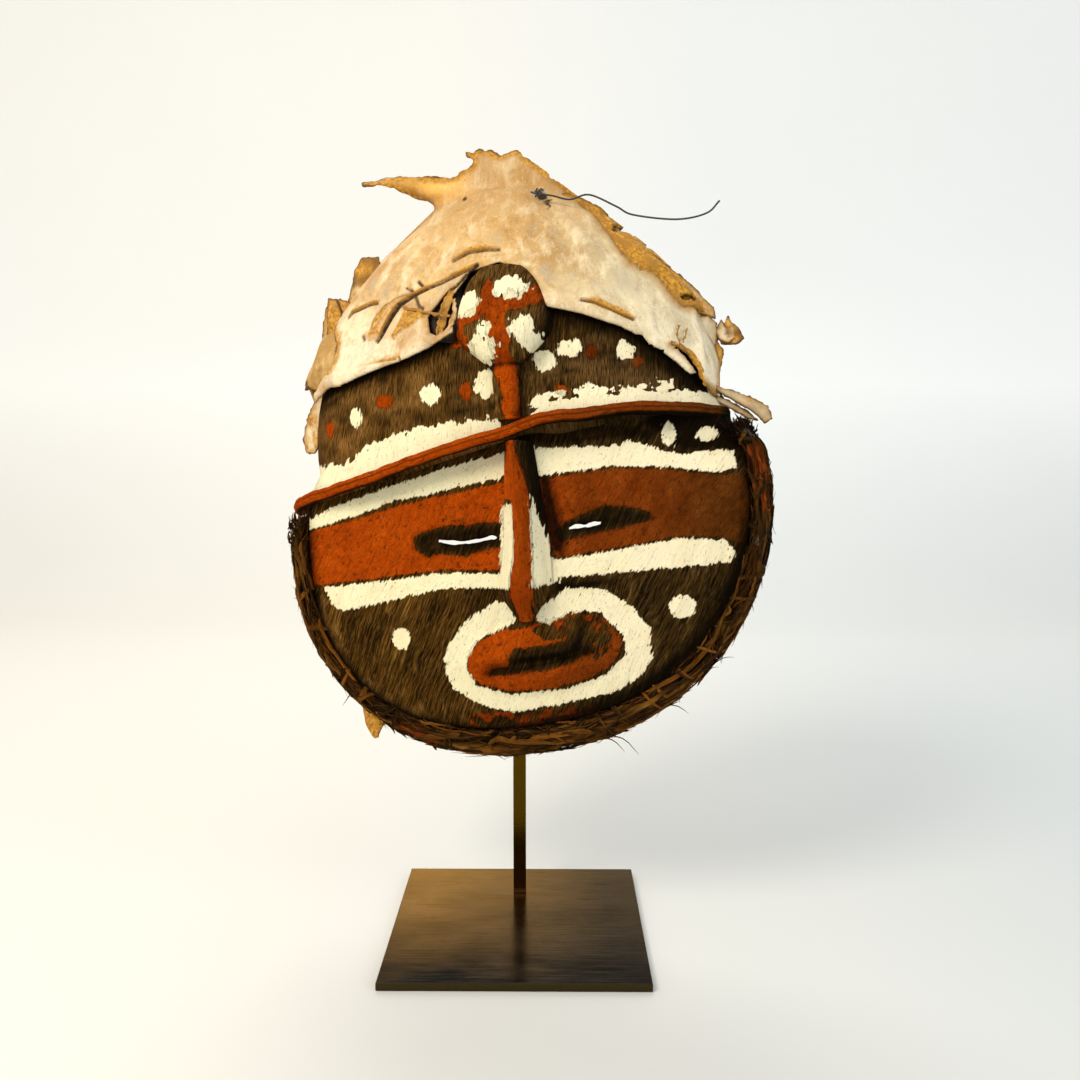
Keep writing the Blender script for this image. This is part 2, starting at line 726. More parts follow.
def hide_material(name, tints):
    """Stiff untanned hide, mottled, browner at its torn edges, golden or dark in its folds."""
    m = Tree(name)
    spot = m.place()
    large = m.noise(spot, 0.022, 4, 0.6, 0.6)
    medium = m.noise(spot, 0.075, 5, 0.65, 0.4)
    small = m.noise(spot, 0.5, 4, 0.65)
    drawn = m.noise(spot, (0.10, 0.10, 0.025), 5, 0.62, 0.2)
    fibre = m.noise(spot, (0.9, 0.9, 0.16), 3, 0.6)
    speck = m.noise(spot, 0.9, 2, 0.5)
    vein = m.math("ABSOLUTE", m.math("SUBTRACT", m.noise(spot, 0.045, 3, 0.6, 1.6), 0.5))
    across, _, up = m.parts(spot)
    base, stain, pale, grey = tints(m, across, up)

    def field(name, noise, amount):
        return m.total(m.field(name), m.jitter((noise, amount)))

    colour = m.coats(
        base,
        (large, 0.44, 0.62, 0.85, stain),
        (drawn, 0.50, 0.68, 0.7, pale),
        (medium, 0.53, 0.70, 0.65, stain),
        (drawn, 0.44, 0.30, 0.7, grey),
        (fibre, 0.56, 0.75, 0.35, (0.80, 0.68, 0.48)),
        (vein, 0.010, 0.002, 0.28, (0.26, 0.13, 0.035)),
        (speck, 0.70, 0.75, 0.7, (0.12, 0.06, 0.015)),
        (small, 0.64, 0.74, 0.5, (0.20, 0.10, 0.025)),
    )
    colour = m.blend(m.span(field("edge", medium, 8), 0.2, 4.5, 0.9, 0), colour, (0.33, 0.15, 0.020))
    gold = m.blend(m.span(small, 0.4, 0.62), (0.30, 0.125, 0.008), (0.60, 0.30, 0.035))
    colour = m.coats(
        colour,
        (field("gold", medium, 6), -0.8, 0.8, 0.95, gold),
        (field("crease", small, 1.6), -0.6, 0.5, 0.92, (0.085, 0.034, 0.004)),
        (field("soot", small, 2), -0.6, 0.4, 0.97, (0.012, 0.006, 0.003)),
    )
    height = m.total((small, 0.45), (fibre, 0.3), (drawn, 0.9))
    return m.finish(colour, m.span(medium, 0.3, 0.7, 0.55, 0.75), height, 0.0008, specular=0.2)


def bound_bark():
    """The hoop's bark strips and loose fibres, dark with ochre and redder strips."""
    m = Tree("bound_bark")
    grain = m.vector_field("grain")
    strip = m.noise(grain, (0.30, 0.022, 1), 3, 0.6)
    fine = m.noise(grain, (2.2, 0.14, 1), 4, 0.65)
    patch = m.noise(grain, (0.06, 0.04, 1), 2, 0.5)
    colour = m.ramp(m.total((strip, 0.7), (patch, 0.45)),
                    (0.42, (0.006, 0.003, 0.0008)), (0.54, (0.030, 0.013, 0.0018)),
                    (0.63, (0.105, 0.042, 0.005)), (0.75, (0.24, 0.105, 0.016)))
    jag = m.jitter((fine, 6))

    def paint(name, edge, strength, tint):
        return m.total(m.field(name), jag), -edge, edge, strength, tint

    colour = m.coats(
        colour,
        paint("tan", 2, 0.78, (0.26, 0.085, 0.007)),
        (fine, 0.56, 0.74, 0.4, (0.17, 0.075, 0.014)),
        (fine, 0.47, 0.3, 0.85, (0.005, 0.003, 0.001)),
        paint("red", 1, 0.9, (0.32, 0.058, 0.005)),
        paint("white", 0.4, 0.95, (0.80, 0.72, 0.55)),
        paint("soot", 3, 0.92, (0.004, 0.0025, 0.001)),
    )
    return m.finish(colour, 0.9, m.total(fine, (strip, 1.4)), 0.0012, specular=0.06)


def patina_steel():
    """Steel with a brown patina, warm at the back left and nearly black in front, brushed sideways."""
    m = Tree("patina_steel")
    spot = m.place()
    brushed = m.noise(spot, (0.03, 0.8, 0.8), 4, 0.7)
    cloud = m.noise(spot, (0.014, 0.03, 0.03), 4, 0.6, 0.3)
    speck = m.noise(spot, 0.9, 3, 0.6)
    across, back, up = m.parts(spot)
    rear = m.blend(m.span(across, 55, -55), (0.13, 0.102, 0.085), (0.46, 0.26, 0.105))
    plate = m.span(m.total(back, m.jitter((cloud, 90))), -80, 65)
    colour = m.coats(
        m.blend(plate, (0.022, 0.026, 0.034), rear),
        (brushed, 0.5, 0.75, 0.35, (0.22, 0.165, 0.12)),
        (brushed, 0.46, 0.3, 0.45, (0.016, 0.015, 0.014)),
        # The front edge of the plate, then the rod
        (back, -74.0, -74.8, 1, (0.050, 0.036, 0.014)),
        (up, 7, 9, 1, (0.082, 0.044, 0.002)),
        (speck, 0.62, 0.72, 0.3, (0.02, 0.012, 0.006)),
    )
    rough = m.total(m.span(cloud, 0.3, 0.7, 0.10, 0.18), m.span(brushed, 0.3, 0.7, 0, 0.06))
    m.shader.inputs["Specular Tint"].default_value = (0.45, 0.40, 0.30, 1)
    return m.finish(colour, rough, m.total((brushed, 0.5), (speck, 0.2)), 0.00008, metal=1.0,
                    specular=0.5)


def iron_wire():
    m = Tree("iron_wire")
    spot = m.place()
    rust = m.noise(spot, 0.35, 3, 0.6)
    colour = m.blend(m.span(rust, 0.5, 0.68), (0.055, 0.055, 0.060), (0.085, 0.050, 0.028))
    return m.finish(colour, m.span(rust, 0.3, 0.7, 0.4, 0.7), rust, 0.0002, metal=0.7)


BARK = painted_bark()
HIDE = hide_material("ivory_hide", ivory_hide_tints)
HIDE_DARK = hide_material("golden_hide", golden_hide_tints)
HOOP = bound_bark()
STEEL = patina_steel()
IRON = iron_wire()

# Stand

for node in ("base_plate", "stand_rod"):
    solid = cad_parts[node]
    solid.data.materials.clear()
    solid.data.materials.append(STEEL)
    bevel = solid.modifiers.new("edges", "BEVEL")
    bevel.width = 0.0004
    bevel.segments = 2
    bevel.limit_method = "ANGLE"

# Face

UPPER_WHITE_LEFT = [(-138, 12), (-116, 19), (-81, 27), (-59, 31), (-33, 36), (-16, 38), (-5, 41),
                    (-5, 32), (-12, 25), (-35, 23), (-57, 20), (-75, 19), (-99, 13), (-138, 6)]
UPPER_WHITE_RIGHT = [(0, 44), (10, 40), (39, 38), (57, 37), (60, 40), (75, 34), (88, 29), (107, 30),
                     (118, 28), (118, 19), (108, 17), (79, 23), (51, 26), (28, 25), (9, 24), (1, 30)]
LOWER_WHITE_LEFT = [(-128, -28), (-92, -27), (-51, -25), (-17, -28), (-13, 11), (-4, 9), (-4, -13),
                    (-4, -34), (-17, -36), (-52, -34), (-88, -39), (-117, -43), (-123, -40)]
LOWER_WHITE_RIGHT = [(4, 13), (12, -9), (12, -21), (17, -23), (41, -21), (84, -17), (108, -20),
                     (114, -28), (111, -33), (74, -33), (32, -33), (16, -33), (16, -36), (5, -35)]
RED_LEFT = [(-140, 5), (-99, 11), (-74, 16), (-35, 20), (-9, 23), (-9, -27), (-51, -23), (-92, -25),
            (-136, -27), (-142, -10)]
RED_RIGHT = [(9, 22), (29, 24), (51, 25), (79, 22), (108, 16), (122, 16), (126, 1), (120, -24),
             (108, -19), (84, -16), (41, -20), (16, -22), (12, -12), (10, 5)]
EYE_LEFT = [(-67, -4), (-60, -0.5), (-50, 1), (-43, 1.5), (-34, 0.5), (-26, 1.5), (-12, 0), (-13, -13),
            (-24, -14), (-36, -16.5), (-51, -14), (-60, -15), (-65, -10)]
EYE_RIGHT = [(16, -8), (22, -3), (32, 1), (45, 4.5), (57, 3), (69, -1), (71, -5), (56, -8), (43, -9.5),
             (31, -11), (19, -13)]
MOUTH_RED = [(-42, -75), (-35, -66), (-21, -60), (-5, -59), (23, -53), (38, -57), (47, -69), (46, -78),
             (38, -86), (26, -92), (5, -96), (-18, -96), (-37, -91), (-43, -82)]
MOUTH_DARK = [(-18, -77), (-13, -71), (-4, -71), (6, -70), (15, -69), (21, -63), (27, -61), (30, -66),
              (31, -74), (29, -77), (19, -81), (4, -84), (-15, -85), (-30, -86), (-29, -82), (-18, -82)]
MOUTH_BROWN = [(-3, -61), (6, -57), (23, -54), (36, -57), (43, -66), (41, -76), (31, -82), (29, -72),
               (19, -67), (5, -68)]
MOUTH_SLIT = [(-32, -85), (-25, -83.5), (-11, -83.2), (3, -81.5), (14, -79), (20, -78)]
RING = [(-56, -74), (-52, -65), (-40, -53), (-22, -44), (-12, -44), (-11, -56), (-34, -65), (-42, -75),
        (-43, -82), (-39, -91), (-19, -98), (15, -96), (36, -90), (48, -80), (48, -68), (35, -53),
        (20, -53), (7, -59), (1, -56), (2, -50), (10, -45), (20, -39), (39, -41), (53, -51), (63, -65),
        (63, -83), (54, -94), (39, -101), (14, -105), (-20, -109), (-40, -102), (-54, -92), (-57, -81)]
FACE_DOTS = [(-81, -61, 11.5, 13), (82, -55, 14, 13.5), (83, 40, 7.5, 15), (104, 39, 12, 9)]
CHIN_RED = [(-46, -109), (-16, -108), (10, -108), (30, -108), (30, -116), (6, -125), (-30, -122),
            (-47, -115)]
CHIN_DARK = [(32, -107), (56, -99), (72, -84), (86, -88), (72, -106), (40, -121)]
VALLEY = [(11, 24), (16, 23), (19, -1), (22, -12), (19, -21), (14, -17), (11, 0)]
RIGHT_CORNER = [(70, 48), (80, 60), (130, 60), (126, 20), (120, 28), (90, 31)]
UNDER_WHITE = [(16, -38.5), (30, -38.5), (46, -37)]
OVER_WHITE = [(4, 48), (25, 46), (55, 45), (72, 42)]
FACE_WHITE = [UPPER_WHITE_LEFT, UPPER_WHITE_RIGHT, LOWER_WHITE_LEFT, LOWER_WHITE_RIGHT, RING]
FACE_RED = [RED_LEFT, RED_RIGHT]
FACE_LEAN = 62


def lean_grain(x, z, degrees, seed):
    """Coordinates across and along fibres that lean by so many degrees from level, a bit wavy."""
    angle = degrees * DEG
    across = x * np.sin(angle) - z * np.cos(angle)
    along = x * np.cos(angle) + z * np.sin(angle)
    across = across + waves(x, z, (2.2, seed, 45, 45), (0.7, seed + 1, 12, 12))
    return np.stack([across, along, 0 * across], -1)


def bark_relief(seed, grain):
    across, along = grain[..., 0], grain[..., 1]
    fibres = waves(across, along, (0.28, seed, 3.4, 30), (0.16, seed + 1, 2.6, 12))
    return fibres + 0.5 * layered(seed + 2, across / 26, along / 34, 2)


def face_place(u, v):
    """A place in the face's round outline, from one in a square from -1 to 1."""
    a, b = u * np.sqrt(1 - v * v / 2), v * np.sqrt(1 - u * u / 2)
    angle = np.arctan2(b, a)
    reach = np.hypot(a, b) * panel_radius(angle)
    return FACE_X + reach * np.cos(angle), FACE_Z + reach * np.sin(angle)


def face_surface(u, v):
    x, z = face_place(u, v)
    return np.stack([x, panel_front(x, z), z], -1)


def eye_slit(x, z):
    """More than 0 inside the slits cut through for the eyes."""
    return on_lines(x, z, SLITS)


def inside_rim(x, z):
    """How far a point of the face is from its edge."""
    return panel_radius(face_angle(x, z)) - np.hypot(x - FACE_X, z - FACE_Z)


def face_thickness(u, v):
    """Thinner beside the slits."""
    return mix(3.4, 2.0, smooth(-9, -2, eye_slit(*face_place(u, v))))


def face_soot(x, z, rim, turned, eyes):
    # Dark beside the hoop, more so at the lower right
    shade = smooth(-110, -70, turned) * smooth(0, -25, turned)
    mouth = in_outline(x, z, MOUTH_DARK)
    chin = in_outline(x, z, CHIN_RED)
    soot = [
        3.2 - rim,
        2.5 - (rim - 3.5 * shade) * 0.8,
        on_line(x, z, MOUTH_SLIT, [0.8, 1.6, 1.6, 1.2, 0.9, 0.3]) + 1,
        mouth - 3.2,
        np.minimum(mouth, 1.8) - 1.0,
        np.minimum(chin, 1.3) - 0.9,
        np.minimum(in_outline(x, z, CHIN_DARK), 2),
        in_outline(x, z, RIGHT_CORNER),
        in_outline(x, z, VALLEY) + 1.2,
        on_line(x, z, UNDER_WHITE, [3, 2.6, 0.6]) + 0.8,
        np.minimum(on_line(x, z, OVER_WHITE, [4, 5, 3.5, 2]), 1.2),
        np.minimum(eyes, 2.6) - 1.0,
    ]
    for line, half in SLITS:
        soot.append(on_line(x, z + 1.7, line, [1.5 * h for h in half]) + 1.6)
        soot.append(on_line(x, z - 1.6, line, half) + 0.6)
    return most(*soot)


def face_fields(u, v, p):
    x, z = p[..., 0], p[..., 2]
    rim = inside_rim(x, z)
    turned = np.degrees(face_angle(x, z))
    white = most(in_outlines(x, z, FACE_WHITE), in_spots(x, z, FACE_DOTS))
    eyes = in_outlines(x, z, [EYE_LEFT, EYE_RIGHT])
    lips = np.minimum(in_outline(x, z, MOUTH_RED), -in_outline(x, z, MOUTH_DARK))
    # The right half of the lips is worn to a mottled brown
    worn = 1.6 * layered(14, x / 5, z / 3.6, 2) - 0.6
    lips = np.where(in_outline(x, z, MOUTH_BROWN) > 0, np.minimum(lips, worn), lips)
    chin = np.minimum(in_outline(x, z, CHIN_RED), 2.2 * layered(16, x / 7, z / 4, 2) + 0.3)
    red = most(np.minimum(in_outlines(x, z, FACE_RED), -eyes), lips, chin)
    # Redder, looser fibres along the hoop at the lower left
    beside = smooth(17, 2, rim) * smooth(-172, -160, turned) * smooth(-105, -122, turned)
    tan = 3.0 * beside + 3.0 * layered(13, x / 5, z / 9, 2) - 3.6
    return {"white": white, "red": red, "soot": face_soot(x, z, rim, turned, eyes), "tan": tan,
            "grain": lean_grain(x, z, FACE_LEAN, 3)}


def face_relief(u, v, p):
    x, z = p[..., 0], p[..., 2]
    lift = bark_relief(11, lean_grain(x, z, FACE_LEAN, 3))
    # Lids: cloth pushed out above the slits, and a little below them
    for eye_x, eye_z, length in EYES:
        t = (x - eye_x) / (length / 2 + 8)
        over = bell((z - eye_z - 3.4) / 2.4) * np.maximum(1 - t * t, 0)
        under = bell((z - eye_z + 4.5) / 2.2) * np.maximum(1 - t * t, 0)
        lift = lift + 2.3 * over + 0.5 * under
    # Crusted paint on the red bands
    crust = smooth(-0.5, 2, in_outlines(x, z, FACE_RED))
    lift = lift + crust * waves(x, z, (0.55, 15, 4.5, 3.2), (0.35, 17, 2.4, 2.1))
    # Rough lips
    lips = smooth(-4, 2, in_outline(x, z, MOUTH_DARK))
    lift = lift + lips * waves(x, z, (0.9, 18, 4, 3), (0.6, 19, 2.2, 2))
    lift = lift - 1.2 * smooth(-1.2, 0.3, on_line(x, z, MOUTH_SLIT, 0.5))
    return lift * smooth(0, 4, inside_rim(x, z))


sheet_piece("face_cloth", BARK, "bark_cloth", ("face_panel",), face_surface,
            spans=((-1, 1), (-1, 1)), cells=(218, 218), thick=face_thickness, relief=face_relief,
            fields=face_fields, inside=lambda u, v, p: -eye_slit(p[..., 0], p[..., 2]))

# Hoop

HOOP_FROM, HOOP_TO = -182.5 * DEG, 15.5 * DEG
# Corners of the hoop's section, from the band's back edge round by its inside to the front and the
# outside. Each is an inset in mm, the share of the hoop's width to add to it, and a depth
HOOP_CORNERS = [(1.5, 0, 40), (4.5, 0, 40), (4.8, 0, 22), (5, 0, 5.5), (3.6, 1, 4), (3.8, 1, 1.4),
                (0.4, 1, 0.8), (0, 1, -3), (-1.5, 1, -7.5), (-4, 1, -9.8), (0, 0.5, -10.7),
                (2.8, 0, -8.2), (0.5, 0, -3.5), (0.1, 0, 0.5), (0.6, 0, 5), (1.5, 0, 12)]


def hoop_loops(angle):
    """The closed loop of (inset, depth) round the hoop's section at each angle."""
    inset, share, depth = np.array(HOOP_CORNERS).T
    inset = inset + share * hoop_width(angle)[:, None]
    loops = np.stack([inset, depth + 0 * inset], -1)
    return np.concatenate([loops, loops[:, :1]], 1)


def hoop_surface(angle, share):
    """Points of the hoop for rings of angles and shares of the way round the section, the way out
    of the section there, the distance round it, and its inset and depth."""
    loops = hoop_loops(angle)
    reach = np.cumsum(np.linalg.norm(np.diff(loops, axis=1, prepend=loops[:, :1]), axis=2), 1)

    def at(ring, places):
        return [np.interp(places, reach[ring], loops[ring, :, k]) for k in (0, 1)]

    around = (share % 1) * reach[:, -1:]
    spot = np.array([at(k, around[k]) for k in range(len(angle))])
    ahead = np.array([at(k, np.minimum(around[k] + 1, reach[k, -1])) for k in range(len(angle))])
    behind = np.array([at(k, np.maximum(around[k] - 1, 0)) for k in range(len(angle))])
    inset, depth = spot[:, 0], spot[:, 1]
    along = unit(ahead - behind, 1)
    cosine, sine = np.cos(angle)[:, None], np.sin(angle)[:, None]
    # A little slacker outside at the lower left
    slack = 2.6 * bell((angle + 141 * DEG) / (17 * DEG))
    radial = rim_radius(angle)[:, None] - inset - slack[:, None] * smooth(6, 2, inset)
    points = np.stack([FACE_X + radial * cosine, depth, FACE_Z + radial * sine], -1)
    outward = np.stack([along[:, 1] * cosine, along[:, 0], along[:, 1] * sine], -1)
    return points, outward, around, inset, depth


def hoop_lift(angle, around, inset, depth):
    """How far the bound strips stand out of the hoop, and where the groove in its front is."""
    along = (angle * FACE_RADIUS)[:, None] + 0 * inset
    front = smooth(6, 0, depth)
    ply = around + 3.5 * noise(40, along / 60, around / 40)
    lift = waves(ply, along, (1.1, 41, 2.6, 34), (0.6, 42, 1.6, 12))
    lift = lift + 1.4 * layered(43, along / 11, around / 6, 3)
    # A lashing strip crosses now and then
    turn = (along + 1.1 * around) / 23 + 0.5 * noise(44, along / 70, 0 * along)
    lash = np.abs((turn % 1) - 0.5)
    lift = lift + 0.8 * smooth(0.16, 0.08, lash) * (noise(45, along / 30, 0 * along) > -0.2)
    groove = 0.62 * hoop_width(angle)[:, None] + 0.8 * noise(46, along / 25, 0 * along)
    lift = lift - 2.4 * bell(inset - groove) * front
    lift = np.where(front > 0, mix(0.35 * lift, lift, front), 0.35 * lift)
    return np.clip(lift, -2.8, 2.0), groove


def hoop_body(angle, size):
    """The bound hoop's points, and where each is in its section."""
    # More points round the front than round the band behind
    share = np.linspace(0, 1, size, endpoint=False)
    share = np.tile(share + 0.055 * np.sin(2 * np.pi * (share - 0.08)), (len(angle), 1))
    points, outward, around, inset, depth = hoop_surface(angle, share)
    lift, groove = hoop_lift(angle, around, inset, depth)
    points = points + outward * lift[..., None]
    # The left end draws in, frayed
    end = mix(0.45, 1, smooth(0, 9 * DEG, angle - HOOP_FROM))[:, None, None]
    middle = points.mean(1, keepdims=True) + [1.5, 0, 0]
    return middle + (points - middle) * end, around, inset, depth, groove


def hoop_fields(angle, around, inset, depth, groove):
    deg = (angle / DEG)[:, None] + 0 * inset
    red = np.minimum(13 - np.abs(deg - 2) * 1.6, 5 - depth)
    red = most(red, np.minimum(3 - np.abs(deg + 122) * 0.6, 5 - depth) - 4 * (inset > 9))
    red = only((depth <= 0.5) | (inset <= 4), red)
    white = most(np.minimum(3.0 - np.abs(deg - 12.5) * 2.4, 4.5 - np.abs(inset - 6)),
                 np.minimum(3.0 - np.abs(deg + 13) * 2.4, 3 - np.abs(inset - 6)))
    white = only(depth < -6, white)
    soot = most(smooth(-60, -5, deg) * 3 - 3, smooth(1, 12, deg) * 8 - 4.5)
    inner = hoop_width(angle)[:, None] - 1.2
    soot = most(
        only(red <= 0, soot),
        only(depth < 4, 2 * (1.6 - np.abs(inset - groove))),
        only((inset > inner) & (depth < 2), 4.0),
    )
    tan = 2.2 * noise(47, deg / 7, inset / 3) + 2.0 * smooth(-120, -170, deg) - 1.9
    tan = np.where(inset < groove, tan, tan - 1.2)
    grain = triples(around, (angle * FACE_RADIUS)[:, None])
    return {"grain": grain, "red": red, "white": white, "soot": soot, "tan": tan}


def hoop_piece():
    rings, size = 660, 72
    angle = np.linspace(HOOP_FROM, HOOP_TO, rings)
    points, *section = hoop_body(angle, size)
    piece("bound_hoop", points, tube_faces(rings, size), HOOP, ("rim_hoop",),
          hoop_fields(angle, *section))


hoop_piece()


def hoop_strips(count, seed):
    """Flat strips of bark bound along the hoop and across it, with frayed ends."""
    rng = np.random.default_rng(seed)
    rings, size, crossing_every = 20, 8, 6
    parts = []
    t = np.linspace(0, 1, rings)
    turn = whole_turn(size)
    # From 0 in the middle of a strip to 1 at its ends, late
    to_ends = (2 * t - 1) ** 6
    for k in range(count):
        crossing = k % crossing_every == 0
        length = rng.uniform(12, 20) if crossing else rng.uniform(14, 60)
        start = mix(HOOP_FROM + 2 * DEG, HOOP_TO - 2 * DEG, rng.random())
        angle = start + length * rng.choice([-1, 1]) * t / FACE_RADIUS
        angle = np.clip(angle, HOOP_FROM + DEG, HOOP_TO - 0.4 * DEG)
        if crossing:
            share = rng.uniform(0.44, 0.5) + 0.33 * t
        else:
            share = rng.uniform(0.44, 0.8) + rng.normal(0, 0.035) * t
            share = share + 0.008 * noise(seed + k, t * 5, 0 * t)
        base, outward, _, _, _ = hoop_surface(angle, share[:, None])
        lift = 0.9 + 0.9 * noise(seed + k + 1, t * 4, 0 * t) + rng.uniform(0, 2.2) * to_ends
        path = base[:, 0] + outward[:, 0] * lift[:, None]
        side = unit(np.cross(np.gradient(path, axis=0), outward[:, 0]))
        wide = rng.uniform(0.5, 1.7) * (1 - to_ends) ** 0.6 + 0.12
        wide = (wide * (1 + 0.25 * noise(seed + k + 2, t * 9, 0 * t)))[:, None]
        across = wide * np.cos(turn)
        points = path[:, None] + side[:, None] * across[..., None] \
            + outward * (0.55 * np.sin(turn) * np.minimum(wide, 1))[..., None]
        at_right = smooth(-70 * DEG, 0, angle)[:, None] + 0 * turn
        parts.append((points, tube_faces(rings, size), {
            "grain": triples(across + 9 * k, length * t[:, None]), "white": NONE,
            "soot": rng.uniform(-7, 0) + 2 * at_right, "red": -1.5 if rng.random() < 0.25 else NONE,
            "tan": rng.uniform(-5, 1.5) - 1.5 * at_right}))
    joined_piece("hoop_strips", parts, HOOP)


hoop_strips(150, 300)


def fibre_tufts(name, routes, widths, seed, shade=(-6, 2)):
    """Loose fibres, three-sided and tapering, along routes; shade is their span of soot."""
    rng = np.random.default_rng(seed)
    taper = np.array([1, 1, 0.9, 0.75, 0.5, 0.15])
    rings = len(taper)
    turn = np.array([90, 210, 330]) * DEG
    size = len(turn)
    parts = []
    for route, half in zip(routes, widths):
        route = resample(route, rings)
        around = spokes(route, turn) * (half * taper)[:, None, None]
        grain = triples(np.tile(turn, rings) + 7 * len(parts), np.repeat(5.0 * np.arange(rings), size))
        parts.append((route[:, None] + around, tube_faces(rings, size), {
            "grain": grain, "red": NONE, "white": NONE, "soot": rng.uniform(*shade),
            "tan": rng.uniform(-4, 2.5)}))
    joined_piece(name, parts, HOOP)


# Longer whiskers under the chin and at the right: where each starts and ends, and its bend
WHISKERS = [(-28, -128, -60, -131, -3), (-25, -129, -52, -134, -2), (33, -125, 50, -138, 3),
            (29, -126, 42, -136, 2), (92, -92, 108, -86, 3), (100, -84, 112, -72, 2),
            (-116.5, -90, -125, -100, 1), (65, -110, 80, -116, 2)]


def hoop_fibres(count, seed):
    rng = np.random.default_rng(seed)
    angle = mix(HOOP_FROM + 3 * DEG, HOOP_TO - DEG, rng.random(count))
    share = rng.uniform(0.42, 0.84, count)
    length = rng.uniform(5, 18, count) * rng.choice([-1, 1], count)
    drift = rng.normal(0, 0.03, count)
    off = np.where(rng.random(count) < 0.8, rng.uniform(0, 1.6, count), rng.uniform(1.2, 3.6, count))
    steps = np.array([0, 0.35, 0.7, 1])
    turned = angle[:, None] + length[:, None] * steps / FACE_RADIUS
    turned = np.clip(turned, HOOP_FROM + DEG, HOOP_TO + DEG)
    shares = share[:, None] + drift[:, None] * steps
    base, outward, _, _, _ = hoop_surface(turned.ravel(), shares.reshape(-1, 1))
    lift = 0.5 + off[:, None] * steps**2 + rng.uniform(-0.3, 0.5, (count, 4))
    routes = list((base[:, 0] + outward[:, 0] * lift.reshape(-1, 1)).reshape(count, 4, 3))
    widths = list(rng.uniform(0.16, 0.45, count))
    for x0, z0, x1, z1, bend in WHISKERS:
        mid = ((x0 + x1) / 2 + 1, -4, (z0 + z1) / 2 + bend)
        routes.append([(x0, -6, z0), mid, (x1, -3, z1)])
        widths.append(0.4)
    fibre_tufts("hoop_fibres", routes, widths, 6)


hoop_fibres(1700, 5)


def end_tuft(name, angles, insets, depths, ways, longest, count, seed, shade):
    """Fuzz at an end of the hoop: fibres that start in a range of places and lean in a range of ways."""
    rng = np.random.default_rng(seed)
    routes = []
    for _ in range(count):
        angle = rng.uniform(*angles) * DEG
        radius = float(rim_radius(angle)) - rng.uniform(*insets)
        x, z = FACE_X + radius * np.cos(angle), FACE_Z + radius * np.sin(angle)
        foot = np.array([x, rng.uniform(*depths), z])
        way = np.array([rng.uniform(*span) for span in ways])
        reach = rng.uniform(2, longest)
        bend = rng.normal(0, 0.8, 3)
        routes.append([foot, foot + way * reach * 0.5 + bend, foot + way * reach])
    fibre_tufts(name, routes, list(rng.uniform(0.25, 0.7, len(routes))), seed + 1, shade)


end_tuft("hoop_end_fuzz", angles=(11.5, 16.2), insets=(-1, 13), depths=(-11, 3),
         ways=((-1, 0.5), (-0.5, 0.2), (0.1, 1)), longest=7, count=260, seed=31, shade=(1.5, 5))
end_tuft("hoop_left_fuzz", angles=(-182.3, -176), insets=(-0.5, 8), depths=(-10, 6),
         ways=((-0.1, 0.6), (-0.3, 0.3), (0.5, 1.0)), longest=8.5, count=300, seed=33, shade=(-5, 1.5))

# Forehead

ABOVE_WHITE_LEFT = [(-152, 42), (-140, 46), (-104, 44), (-85, 53), (-70, 56), (-50, 59), (-28, 60),
                    (-6, 58), (-7, 52), (-18, 46), (-39, 38), (-69, 31), (-95, 24), (-116, 20),
                    (-152, 14)]
ABOVE_WHITE_RIGHT = [(10, 65), (16, 69), (25, 69), (35, 69), (40, 72), (45, 72), (52, 69), (65, 68),
                     (78, 69), (82, 72), (89, 68), (96, 64), (105, 64), (118, 62), (118, 54), (80, 54),
                     (61, 54), (43, 54), (26, 54), (9, 52)]
FOREHEAD_DOTS = [(-46, 75, 12.5, 12), (-95, 70, 8, 12), (34, 92, 13.5, 9.5), (64, 88, 10, 11.5),
                 (83, 72, 8, 7), (-138, 63, 8, 11), (-13.5, 77, 16, 16), (20, 87, 12, 12),
                 (108, 62, 6, 5)]
FOREHEAD_RED = [(46, 89, 7, 8), (70, 82, 6, 6), (-75, 75, 11, 8), (-116, 65, 8, 9), (-25, 75, 7, 11),
                (28, 70, 7, 6), (-28, 104, 8, 10)]
# Angles round the crown in degrees, and heights of the hide's hem there
HEM = [(-80, 82), (-70, 84), (-57, 88), (-48, 89), (-35, 93), (-25, 96), (-16, 101), (-9, 108),
       (-11, 127), (-6, 143), (4, 147), (13, 139), (17, 117), (27, 111), (38, 102), (46, 92), (50, 87),
       (57, 76), (65, 65), (72, 62), (90, 60)]
# Few rows on the shelf, many from the brow to the hem, some under the hide
FOREHEAD_ROWS = np.concatenate([np.linspace(0, 1, 11)[:-1], np.linspace(1, 1.62, 78)[:-1],
                                np.linspace(1.62, 2, 18)])
LAST_ROW = len(FOREHEAD_ROWS) - 1


def hide_hem(degrees):
    """Height of the hem, taken straight over the knob."""
    hem = np.array([h for h in HEM if not -12 < h[0] < 16])
    return np.interp(degrees, hem[:, 0], hem[:, 1])


def forehead_surface(u, v):
    """u is the angle round the crown; v runs from the shelf's back at 0 to the brow at 1, and up."""
    phi = u * DEG
    brow = brow_point(phi, -BROW_TUCK)
    shelf = shelf_point(phi, 0.0)
    straight = (shelf[..., 1] < brow[..., 1]) | (np.linalg.norm(shelf - brow, axis=-1) < 3)
    down = brow.copy()
    down[..., 2] -= 2 + 4 * smooth(2, 4, brow[..., 1])
    shelf = np.where(straight[..., None], down, shelf)
    z = mix(brow[..., 2], 182, clamp01(v - 1))
    above = crown(phi, z, -BROW_TUCK + flare(phi, z - brow[..., 2]))
    t = clamp01(v)[..., None]
    low = mix(shelf, brow, t)
    return np.where(v[..., None] < 1, low, above)


